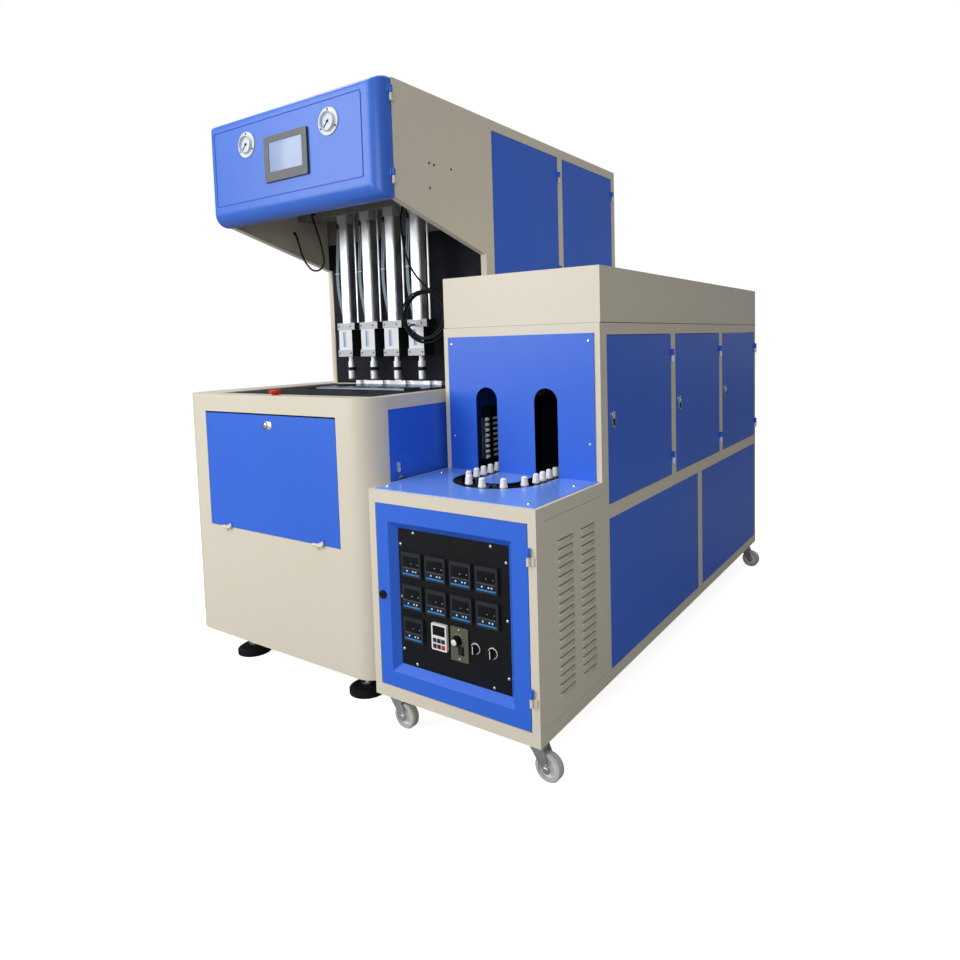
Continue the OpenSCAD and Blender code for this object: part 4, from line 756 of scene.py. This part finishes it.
class BLOWMOULDER_OT_controllers(bpy.types.Operator):
    """Finish the nine temperature controllers, the keypad, the speed plate and the switches"""
    bl_idname = "blowmoulder.controllers"
    bl_label = "Control panel"

    def execute(self, context):
        self.controllers()
        self.keypad()
        self.speed_plate()
        self.screws()
        knob = Vector((HX0 + 0.292, PANEL_Y - 0.0203, 0.322))
        cap = Builder().turn(knob, FRONT, [(8.8, -0.2), (8.8, 0.5), (8.0, 1.4), (4, 1.9), (0, 2.0)], 32)
        cap.finish("speed_knob_cap", "cream", "speed_knob", "white_plastic", 60)
        ring = [(12.4, 2.9), (15.2, 2.9), (14.6, 4.4), (13.2, 4.6), (12.4, 3.9)]
        for name, x in (("left", HX0 + 0.351), ("right", HX0 + 0.406)):
            trim = Builder().box((x - 0.0011, PANEL_Y - 0.01775, 0.3025), (x + 0.0011, PANEL_Y - 0.0170, 0.3235),
                                 0.0003)
            trim.turn((x, PANEL_Y - 0.0003, 0.313), FRONT, ring, 48, True)
            trim.finish("switch_trim_" + name, "cream", "rotary_switch_" + name, "white_plastic", 50)
        return {"FINISHED"}

    def controllers(self):
        """The windows, printed bands, stripes and lines, and the keys and dots of the controllers."""
        windows, bands, stripes, lines, keys = (Builder() for _ in range(5))
        # Half width, way before and behind the housing's front, foot, top and rounding of each field
        fields = ((windows, 0.0275, -0.0006, 0.0016, -0.0055, 0.0235, 0.0004),
                  (bands, 0.029, 0.0005, 0.0002, -0.0225, -0.0125, 0.0002),
                  (stripes, 0.030, 0.0006, 0.0002, -0.0290, -0.0245, 0.0002),
                  (lines, 0.030, 0.0004, 0.0002, -0.0098, -0.0090, 0.0001))
        # Two rows of four, and one controller below them
        y = PANEL_Y - 0.008
        for row, column in [(row, column) for row in (0, 1) for column in range(4)] + [(2, 0)]:
            x, z = HX0 + 0.139 + column * 0.085, 0.505 - row * 0.093
            for build, half, out, back, foot, top, edge in fields:
                build.box((x - half, y - out, z + foot), (x + half, y + back, z + top), edge)
            for key_x in (-0.013, 0.008, 0.018):
                keys.turn((x + key_x, y - 0.0005, z - 0.0175), FRONT,
                          [(2.6, 0), (2.6, 0.5), (2.1, 0.9), (0, 1.0)], 16)
            for dot_x in (0.0, 0.0225):
                keys.turn((x + dot_x, y + 0.0006, z + 0.004), FRONT, [(1.1, 0), (1.1, 0.4), (0, 0.6)], 12)
        windows.finish("controller_windows", "window", "control_door", "black_plastic")
        bands.finish("controller_key_bands", "navy_film", "control_door", "black_plastic")
        stripes.finish("controller_stripes", "ink_blue", "control_door", "black_plastic")
        lines.finish("controller_lines", "grey_line", "control_door", "black_plastic")
        keys.finish("controller_keys", "cream", "control_door", "black_plastic", 60)

    def keypad(self):
        """The window and round boss of the keypad, and its six keys, the last of them red."""
        x0, y = HX0 + 0.206, PANEL_Y - 0.009
        screen = Builder().box((x0 + 0.005, y - 0.0006, 0.3235), (x0 + 0.047, y + 0.0004, 0.3505), 0.0004)
        screen.turn((x0 + 0.037, y - 0.0004, 0.3315), FRONT,
                    [(7.6, 0), (7.6, 0.9), (6.6, 1.3), (5.4, 1.3), (5.0, 0.5), (0, 0.5)], 32)
        screen.finish("keypad_screen", "window", "control_door", "black_plastic")
        pads, red = Builder(), Builder()
        for i in range(6):
            x, z = x0 + 0.0055 + (i % 3) * 0.0145, 0.3095 - (i // 3) * 0.0165
            (red if i == 5 else pads).box((x, y - 0.0012, z - 0.006), (x + 0.012, y + 0.0003, z + 0.006), 0.0008)
        pads.finish("keypad_keys", "grey", "control_door", "black_plastic")
        red.finish("keypad_stop_key", "red", "control_door", "red_plastic")

    def speed_plate(self):
        """The rocker switch, and the scale of ten parts round the speed knob."""
        y = PANEL_Y - 0.004
        rocker = Builder().box((HX0 + 0.294, y - 0.0016, 0.284), (HX0 + 0.313, y + 0.0005, 0.308), 0.0007)
        # Foot and top of the rocker's wedge: across, up and out from its lower left corner
        wedge = (((0, 0, 0.001), (0.014, 0, 0.001), (0.014, 0.019, 0.001), (0, 0.019, 0.001)),
                 ((0.0004, 0.0004, 0.0060), (0.0136, 0.0004, 0.0060), (0.0136, 0.0186, 0.0022),
                  (0.0004, 0.0186, 0.0022)))
        rocker.rings([[Vector((HX0 + 0.2965 + dx, y - out, 0.2865 + dz)) for dx, dz, out in row] for row in wedge])
        rocker.finish("rocker_switch", "black", "control_door", "black_plastic")
        ticks = Builder()
        for i in range(11):
            ticks.slab(spoke(Vector((HX0 + 0.292, y, 0.322)), math.radians(225 - 27 * i), 0.0165, 0.0195, 0.0003),
                       (-0.0001, 0.0002))
        ticks.finish("speed_scale", "cream", "control_door", "black_plastic")

    def screws(self):
        """The screws of the speed plate and round the edge of the panel."""
        low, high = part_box("control_panel")
        w, h, margin = high[0] - low[0], high[2] - low[2], 0.009
        screws = Builder()
        for z in (0.352, 0.272):
            screws.screw((HX0 + 0.298, PANEL_Y - 0.004, z), FRONT, 2.8)
        # Shares of the panel's width along its lower and upper edge, and of its height up its sides
        places = [(low[0] + w * f, z) for f in (0.15, 0.85) for z in (low[2] + margin, high[2] - margin)]
        places += [(x, low[2] + h * f) for f in (0.115, 0.5, 0.885) for x in (low[0] + margin, high[0] - margin)]
        for x, z in places:
            screws.screw((x, PANEL_Y, z), FRONT, 4.4)
        screws.finish("panel_screws", "nickel", "control_door", "bright_steel", 60)


# Small plugged holes in the head's right side sheet, y and z in metres
PLUGS = ((-0.6875, 1.6906), (-0.6624, 1.6891), (-0.5732, 1.6913), (-0.6867, 1.6127))
# Screws of the heater's table, in millimetres from the heater's corner
TABLE_SCREWS = ((43, 282), (512, 283), (511, 42), (33, 46))


class BLOWMOULDER_OT_fasteners(bpy.types.Operator):
    """Fit the seam of the hood, the plugs of the head, and the screws of the table and the arch panel"""
    bl_idname = "blowmoulder.fasteners"
    bl_label = "Fasteners"

    def execute(self, context):
        seam = Builder()
        for low, high in (((HX0 - 0.0004, STEP_Y - 0.0006), (HX1 + 0.0004, STEP_Y + 0.001)),
                          ((HX0 - 0.0004, HY1 - 0.001), (HX1 + 0.0004, HY1 + 0.0006)),
                          ((HX0 - 0.0006, STEP_Y), (HX0 + 0.001, HY1)),
                          ((HX1 - 0.001, STEP_Y), (HX1 + 0.0006, HY1))):
            seam.box((*low, HOOD_LOW - 0.0009), (*high, HOOD_LOW + 0.0009), 0.0002)
        seam.finish("hood_seam", "seam", "machine", "black_plastic")
        plugs = Builder()
        for y, z in PLUGS:
            plugs.turn((QX1 - 0.0002, y, z), RIGHT, [(4.4, 0), (4.4, 0.5), (3.4, 0.9), (2.6, 0.5), (0, 0.4)], 20)
        plugs.finish("side_plugs", "black", "machine", "black_plastic", 40)
        screws = Builder()
        for x, y in TABLE_SCREWS:
            screws.screw(heater(x, y, HEATER_TABLE_Z * 1000), UP, 5.5)
        arch_low, arch_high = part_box("arch_panel")
        for x in (HX0 + 0.034, HX1 - 0.034):
            for z in (arch_high[2] - 0.022, HEATER_TABLE_Z + 0.105):
                screws.screw((x, arch_low[1], z), FRONT, 4.5)
        screws.finish("heater_screws", "chrome", "machine", "bright_steel", 60)
        return {"FINISHED"}


# Rows of a skin over ovals: the way out of the sheet, half width, half height and corner, in metres
CATCH = ((-0.0002, 0.0102, 0.0242, 0.0100), (0.0012, 0.0096, 0.0236, 0.0094),
         (0.0016, 0.0086, 0.0226, 0.0084), (0.0002, 0.0072, 0.0212, 0.0070))
CATCH_SLOT = ((0.0002, 0.0054, 0.0105, 0.0048), (0.0021, 0.0054, 0.0105, 0.0048))
LIFTING_RING = ((-0.0004, 0.0080, 0.0175, 0.0078), (0.0030, 0.0074, 0.0169, 0.0072),
                (0.0034, 0.0052, 0.0147, 0.0050), (0.0006, 0.0046, 0.0141, 0.0044))


class BLOWMOULDER_OT_catches(bpy.types.Operator):
    """Fit the oven doors' catches, the front door's lock and the lifting rings of the side covers"""
    bl_idname = "blowmoulder.catches"
    bl_label = "Catches and lock"

    def execute(self, context):
        for door in SIDE_DOORS:
            low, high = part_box("side_door_" + door)
            x, y, z = HX1 + 0.005, low[1] + 0.030, (low[2] + high[2]) / 2
            catch = Builder().ovals(x, y, z, CATCH)
            catch.turn((x + 0.0004, y, z + 0.008), RIGHT,
                       [(4.6, 0), (4.6, 1.6), (3.9, 2.2), (1.4, 2.2), (1.2, 0.8), (0, 0.8)], 24)
            catch.finish("door_catch_" + door, "chrome", "side_door_" + door, "chrome", 50)
            # The catch's hollow is drawn as a black oval standing on it: painted shade for the dark inside of the
            # hollow
            slot = Builder().ovals(x, y + 0.0004, z - 0.0095, CATCH_SLOT)
            slot.finish("door_catch_hollow_shade_" + door, "black", "side_door_" + door, "black_plastic", 50)
        self.front_lock()
        # Above the turning catch, each side cover has an oval lifting ring
        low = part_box("side_covers")[0]
        for name, face, way in (("left", BX0, -1), ("right", BX1, 1)):
            ring = Builder().ovals(face, low[1] + 0.036, low[2] + 0.241, LIFTING_RING, way)
            ring.finish("side_cover_ring_" + name, "nickel", "machine", "chrome", 50)
        return {"FINISHED"}

    def front_lock(self):
        """The lying oval plate round the barrel of the front door's lock, and its key slot."""
        lock = [v.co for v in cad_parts["front_door"].data.vertices
                if v.co.y < BY0 - 0.0005 and v.co.z > LOCK_LOW]
        x = (min(v.x for v in lock) + max(v.x for v in lock)) / 2
        z = (min(v.z for v in lock) + max(v.z for v in lock)) / 2
        face = min(v.y for v in lock)
        middle = x + 0.009
        plate = Builder().rings([rounded_ring(middle - w, middle + w, z - h, z + h, r, BY0 - out)
                                 for w, h, r, out in ((0.0230, 0.0130, 0.0128, 0.0000),
                                                      (0.0230, 0.0130, 0.0128, 0.0010),
                                                      (0.0218, 0.0118, 0.0117, 0.0020))])
        plate.turn((x + 0.024, BY0 - 0.0019, z - 0.001), FRONT, [(2.0, 0), (2.0, 0.5), (0, 0.9)], 16)
        plate.turn((x, face + 0.0002, z), FRONT, [(7.4, 0), (7.4, 0.9), (6.2, 1.6), (2.0, 1.6)], 32)
        plate.finish("front_lock_plate", "nickel", "front_door", "chrome", 50)
        # The key slot is drawn as a black disc and bar before the barrel: painted shade for the dark inside of the
        # keyway
        slot = Builder().turn((x, face - 0.0010, z), FRONT, [(2.2, 0), (2.2, 0.8), (0, 0.9)], 20)
        slot.box((x - 0.0007, face - 0.0020, z - 0.0042), (x + 0.0007, face - 0.0012, z + 0.0042), 0.0002)
        slot.finish("front_lock_keyway_shade", "black", "front_door", "black_plastic", 50)


class BLOWMOULDER_OT_vent_panel(bpy.types.Operator):
    """Press the louvred panel in the side of the control cabinet, with its slots open to the top"""
    bl_idname = "blowmoulder.vent_panel"
    bl_label = "Louvred panel"

    def execute(self, context):
        sizes = context.scene.blowmoulder_vent
        low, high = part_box("vent_panel")
        # The sheet is 1.8 mm thick, and made as strips, so that each slot is a true opening
        face, inside = HX1, HX1 - 0.0018
        width, slot, lift, rise = sizes.width, sizes.slot, sizes.lift, sizes.rise
        sheet, hoods, dark = Builder(), Builder(), Builder()
        columns = [low[1] + 0.0613 + column * 0.1275 for column in (0, 1)]
        slots = [low[2] + 0.058 + row * sizes.pitch for row in range(sizes.rows)]
        edges = [low[1], columns[0], columns[0] + width, columns[1], columns[1] + width, high[1]]
        for y0, y1 in zip(edges[::2], edges[1::2]):
            sheet.box((inside, y0, low[2]), (face, y1, high[2]))
        # Out and up from the slot, round the pressed louvre; its ends run out over 3.5 mm
        outline = [(0.0, -rise), (lift * 0.42, -rise * 0.66), (lift * 0.8, -rise * 0.33), (lift, 0.0005),
                   (lift - 0.0012, 0.0005), (lift * 0.7, -rise * 0.3), (0.0, -rise * 0.62)]
        ends = [(0.0, 0.0), (0.0035, 1.0), (width - 0.0035, 1.0), (width, 0.0)]
        levels = [low[2]] + [z + part for z in slots for part in (0.0, slot)] + [high[2]]
        for y in columns:
            for z0, z1 in zip(levels[::2], levels[1::2]):
                sheet.box((inside, y, z0), (face, y + width, z1))
            for z in slots:
                hoods.rings([[Vector((face - 0.0002 + out * share, y + along, z + up)) for out, up in outline]
                             for along, share in ends])
                # Behind each slot, a dark strip in the seam finish: painted shade for the dark inside of the
                # cabinet
                dark.box((inside - 0.0012, y + 0.0005, z - 0.001),
                         (inside - 0.0004, y + width - 0.0005, z + slot + 0.001))
        piece = sheet.finish("louvred_sheet", "cabinet", "machine", "cabinet_paint", 30)
        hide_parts("vent_panel")
        hoods.finish("louvre_hoods", "cabinet", "machine", "cabinet_paint", 40)
        dark.finish("louvre_slot_shade", "seam", "machine", "black_plastic")
        return {"FINISHED"}


class BLOWMOULDER_OT_casters(bpy.types.Operator):
    """Fit the axle nuts and washers of the casters"""
    bl_idname = "blowmoulder.casters"
    bl_label = "Casters"

    def execute(self, context):
        for corner in CASTERS:
            wheel, fork = mid("caster_wheel_" + corner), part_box("caster_fork_" + corner)
            nuts = Builder()
            for side, y in ((-1, fork[0][1]), (1, fork[1][1])):
                for inset, profile, segments in ((0.0060, [(12, 0), (12, 0.8), (6.5, 0.9)], 32),
                                                 (0.0052, [(8.2, 0), (8.2, 3.6), (7.2, 4.4)], 6)):
                    nuts.turn((wheel.x, y - side * inset, wheel.z), (0, side, 0), profile, segments)
            nuts.finish("caster_nuts_" + corner, "bright", "caster_fork_" + corner, "bright_steel", 40)
        return {"FINISHED"}


class BLOWMOULDER_OT_stations(bpy.types.Operator):
    """Fit the labels, the fittings, the hose ties, the sensors and the screws of the blow stations"""
    bl_idname = "blowmoulder.stations"
    bl_label = "Stations"

    def execute(self, context):
        labels, bands, fittings, ties, elbows, screws = (Builder() for _ in range(6))
        rods_low, rods_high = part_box("stretch_rods")
        y = (rods_low[1] + rods_high[1]) / 2
        # The labels lie 27 mm and the screws 30 mm before the rods' middle
        label_y, cap_y = y - 0.027, y - 0.030
        stations, pitch = 4, 0.120
        for i in range(stations):
            x = QC + (i - (stations - 1) / 2) * pitch
            for build, left, right in ((labels, -0.012, -0.005), (bands, -0.005, 0.004)):
                build.box((x + left, label_y - 0.0003, 1.114), (x + right, label_y + 0.0004, 1.174), 0.0001)
            for side in (-1, 1):
                for z in (1.090, 1.194):
                    screws.screw((x + side * 0.030, cap_y, z), FRONT, 3.2)
                fittings.turn((x - 0.031 + side * 0.004, y, 1.2068), UP,
                              [(3.9, 0), (3.9, 11), (3.5, 12), (3.5, 15), (3.05, 16)], 16)
            ties.box((x - 0.0431, y - 0.0245, 1.398), (x - 0.0289, y - 0.0155, 1.4015), 0.0006)
            ties.box((x - 0.0300, y - 0.0262, 1.3975), (x - 0.0265, y - 0.0235, 1.402), 0.0004)
            elbows.box((x - 0.041, y - 0.011, 1.574), (x - 0.0238, y + 0.011, 1.603), 0.0022)
            elbows.turn((x - 0.0345, y, 1.575), DOWN, [(6.2, 0), (6.2, 7), (5.2, 9), (5.2, 14), (4.0, 15)], 20)
        labels.finish("station_labels", "label_blue", "machine", "white_plastic")
        bands.finish("station_label_bands", "cap", "machine", "white_plastic")
        fittings.finish("push_in_fittings", "blue_plastic", "machine", "black_plastic", 40)
        ties.finish("hose_ties", "cream", "machine", "white_plastic")
        elbows.finish("cylinder_sensors", "black", "machine", "black_plastic", 40)
        screws.finish("station_screws", "black", "machine", "bright_steel", 60)
        # The sheet at the back of the bay, with a lip along its foot
        wall_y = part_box("bay_wall")[0][1]
        x0, x1 = QX0 + 0.006, QX1 - 0.006
        sheet = Builder().box((x0, wall_y - 0.0012, 1.540), (x1, wall_y + 0.0002, HEAD_Z - 0.012), 0.0004)
        sheet.box((x0, wall_y - 0.012, 1.538), (x1, wall_y + 0.0002, 1.5405), 0.0006)
        sheet.finish("bay_back_sheet", "grey_sheet", "machine", "cabinet_paint")
        return {"FINISHED"}


class BLOWMOULDER_OT_oven(bpy.types.Operator):
    """Fit the ceramic ends and the bus bars of the lamps"""
    bl_idname = "blowmoulder.oven"
    bl_label = "Oven lamps"

    def execute(self, context):
        low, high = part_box("heat_lamps")
        ends, bars = Builder(), Builder()
        # Two banks of lamps beside each preform run, 620 mm apart; a bank's lamps are 560 mm long
        for x, way in ((low[0] + 0.0045, -1), (high[0] - 0.0045, 1)):
            for bank in (low[1], low[1] + 0.620):
                for y, sign in ((bank, -1), (bank + 0.560, 1)):
                    for i in range(8):
                        ends.turn((x, y - sign * 0.001, 0.744 + i * 0.0175), (0, sign, 0),
                                  [(5.8, 0), (5.8, 9), (4.9, 10.5), (1.6, 10.5), (1.2, 17), (0, 17)], 16)
                    bars.box((x - way * 0.0025, y + sign * 0.0165, 0.738),
                             (x + way * 0.0105, y + sign * 0.0180, 0.872), 0.0003)
        ends.finish("lamp_ends", "white", "machine", "white_plastic", 40)
        bars.finish("lamp_bus_bars", "bright", "machine", "bright_steel")
        return {"FINISHED"}


# Place and edge in metres, and share of the lamp power; all aim at about the machine's middle
LAMPS = {"front_left_soft": ((-2.8, -5.0, 2.6), 3.6, 1.0),
         "front_right_soft": ((2.6, -4.6, 2.0), 2.0, 0.25),
         "top_soft": ((-0.6, -0.4, 4.6), 4.0, 0.72)}
LAMPS_AIM = (0, 0, 0.9)


class BLOWMOULDER_OT_stage(bpy.types.Operator):
    """Set up the floor, the soft lamps, the room light and the camera"""
    bl_idname = "blowmoulder.stage"
    bl_label = "Stage"

    def execute(self, context):
        settings = context.scene.blowmoulder_stage
        scene = context.scene
        scene.view_settings.view_transform = "Standard"
        floor = make_floor(scene)
        world = bpy.data.worlds.new("Plain room")
        scene.world = world
        world.use_nodes = True
        tree = world.node_tree
        back = tree.nodes["Background"]
        back.inputs["Color"].default_value = (1, 1, 1, 1)
        # The camera sees white, straight or through a hose, while the machine gets the room's light
        ray = add(tree, "ShaderNodeLightPath")
        seen = add(tree, "ShaderNodeMath", [(ray, "Is Camera Ray", 0), (ray, "Is Transmission Ray", 1)],
                   operation="MAXIMUM")
        level = add(tree, "ShaderNodeMapRange", [(seen, "Value", "Value")])
        level.inputs["To Min"].default_value = settings.room
        level.inputs["To Max"].default_value = 1.0
        tree.links.new(level.outputs["Result"], back.inputs["Strength"])
        for name, (place, size, share) in LAMPS.items():
            data = bpy.data.lights.new(name, "AREA")
            data.shape = "SQUARE"
            data.size = size
            data.energy = settings.lamp_power * share
            lamp = bpy.data.objects.new(name, data)
            lamp.location = place
            lamp.rotation_euler = (Vector(LAMPS_AIM) - Vector(place)).to_track_quat("-Z", "Y").to_euler()
            scene.collection.objects.link(lamp)
        place_camera(scene)
        return {"FINISHED"}


def place_camera(scene):
    """The camera that the photograph was taken from, solved for a square picture of 960 pixels."""
    picture = 960
    focal_px = 701.386
    centre_px = (492.744, 393.063)
    yaw, pitch, roll = 0.60011, 0.072422, -0.0279635
    forward = Vector((-math.sin(yaw) * math.cos(pitch), math.cos(yaw) * math.cos(pitch), -math.sin(pitch)))
    right = Vector((math.cos(yaw), math.sin(yaw), 0))
    up = right.cross(forward)
    side = right * math.cos(roll) + up * math.sin(roll)
    top = up * math.cos(roll) - right * math.sin(roll)
    data = bpy.data.cameras.new("camera")
    data.sensor_width = 36
    data.lens = focal_px / picture * data.sensor_width
    data.shift_x = (picture / 2 - centre_px[0]) / picture
    data.shift_y = (centre_px[1] - picture / 2) / picture
    data.clip_start = 0.05
    data.clip_end = 60
    camera = bpy.data.objects.new("camera", data)
    turn = Matrix((side, top, -forward)).transposed().to_4x4()
    camera.matrix_world = Matrix.Translation(heater(1417.7, -1428.7, 1117.4)) @ turn
    scene.collection.objects.link(camera)
    scene.camera = camera


def make_floor(scene):
    """The studio floor, which isn't part of the machine."""
    mesh = Builder().box((-14, -10, -0.02), (10, 22, 0)).mesh("floor")
    # Smooth and white, so that it shows only the machine's soft shadow
    material, tree, shader = surface("Painted studio floor, white", "#f6f6f4", 0.0, 0.9,
                                     Emission_Color=linear("#ffffff"))
    # A roller leaves waves of about 30 mm
    grain(tree, shader, 30, 0.05)
    # The camera sees a white floor, while the machine gets only a grey floor's light from below
    ray = add(tree, "ShaderNodeLightPath")
    glow = add(tree, "ShaderNodeMath", [(ray, "Is Camera Ray", 0)], operation="MULTIPLY")
    glow.inputs[1].default_value = 0.8
    tree.links.new(glow.outputs["Value"], shader.inputs["Emission Strength"])
    tone = add(tree, "ShaderNodeMix", [(ray, "Is Camera Ray", "Factor")], data_type="RGBA")
    tone.inputs["A"].default_value = linear("#959595")
    tone.inputs["B"].default_value = linear("#f6f6f4")
    tree.links.new(tone.outputs["Result"], shader.inputs["Base Color"])
    mesh.materials.append(material)
    floor = bpy.data.objects.new("floor", mesh)
    scene.collection.objects.link(floor)
    return floor


class BLOWMOULDER_PT_panel(bpy.types.Panel):
    """Lists the settings and the steps that build the machine's looks"""
    bl_idname = "BLOWMOULDER_PT_panel"
    bl_label = "Blow moulder"
    bl_space_type = "VIEW_3D"
    bl_region_type = "UI"
    bl_category = "Blow moulder"

    def draw(self, context):
        for group in (getattr(context.scene, name) for name in SETTINGS):
            for key in group.bl_rna.properties.keys():
                if key not in ("rna_type", "name"):
                    self.layout.prop(group, key)
        for step in STEPS:
            self.layout.operator(step.bl_idname)


SETTINGS = {"blowmoulder_paint": PaintSettings, "blowmoulder_cords": CordSettings,
            "blowmoulder_cover": CoverSettings, "blowmoulder_vent": VentSettings,
            "blowmoulder_stage": StageSettings}
STEPS = (BLOWMOULDER_OT_finishes, BLOWMOULDER_OT_cables, BLOWMOULDER_OT_head_cover,
         BLOWMOULDER_OT_head_instruments, BLOWMOULDER_OT_controllers, BLOWMOULDER_OT_fasteners,
         BLOWMOULDER_OT_catches, BLOWMOULDER_OT_vent_panel, BLOWMOULDER_OT_casters,
         BLOWMOULDER_OT_stations, BLOWMOULDER_OT_oven, BLOWMOULDER_OT_stage)
CLASSES = tuple(SETTINGS.values()) + STEPS + (BLOWMOULDER_PT_panel,)


def register():
    for cls in CLASSES:
        bpy.utils.register_class(cls)
    for name, group in SETTINGS.items():
        setattr(bpy.types.Scene, name, PointerProperty(type=group))


def unregister():
    for name in SETTINGS:
        delattr(bpy.types.Scene, name)
    for cls in reversed(CLASSES):
        bpy.utils.unregister_class(cls)


def main():
    register()
    bpy.ops.blowmoulder.finishes()
    bpy.ops.blowmoulder.cables()
    bpy.ops.blowmoulder.head_cover()
    bpy.ops.blowmoulder.head_instruments()
    bpy.ops.blowmoulder.controllers()
    bpy.ops.blowmoulder.fasteners()
    bpy.ops.blowmoulder.catches()
    bpy.ops.blowmoulder.vent_panel()
    bpy.ops.blowmoulder.casters()
    bpy.ops.blowmoulder.stations()
    bpy.ops.blowmoulder.oven()
    bpy.ops.blowmoulder.stage()


if __name__ == "__main__":
    main()
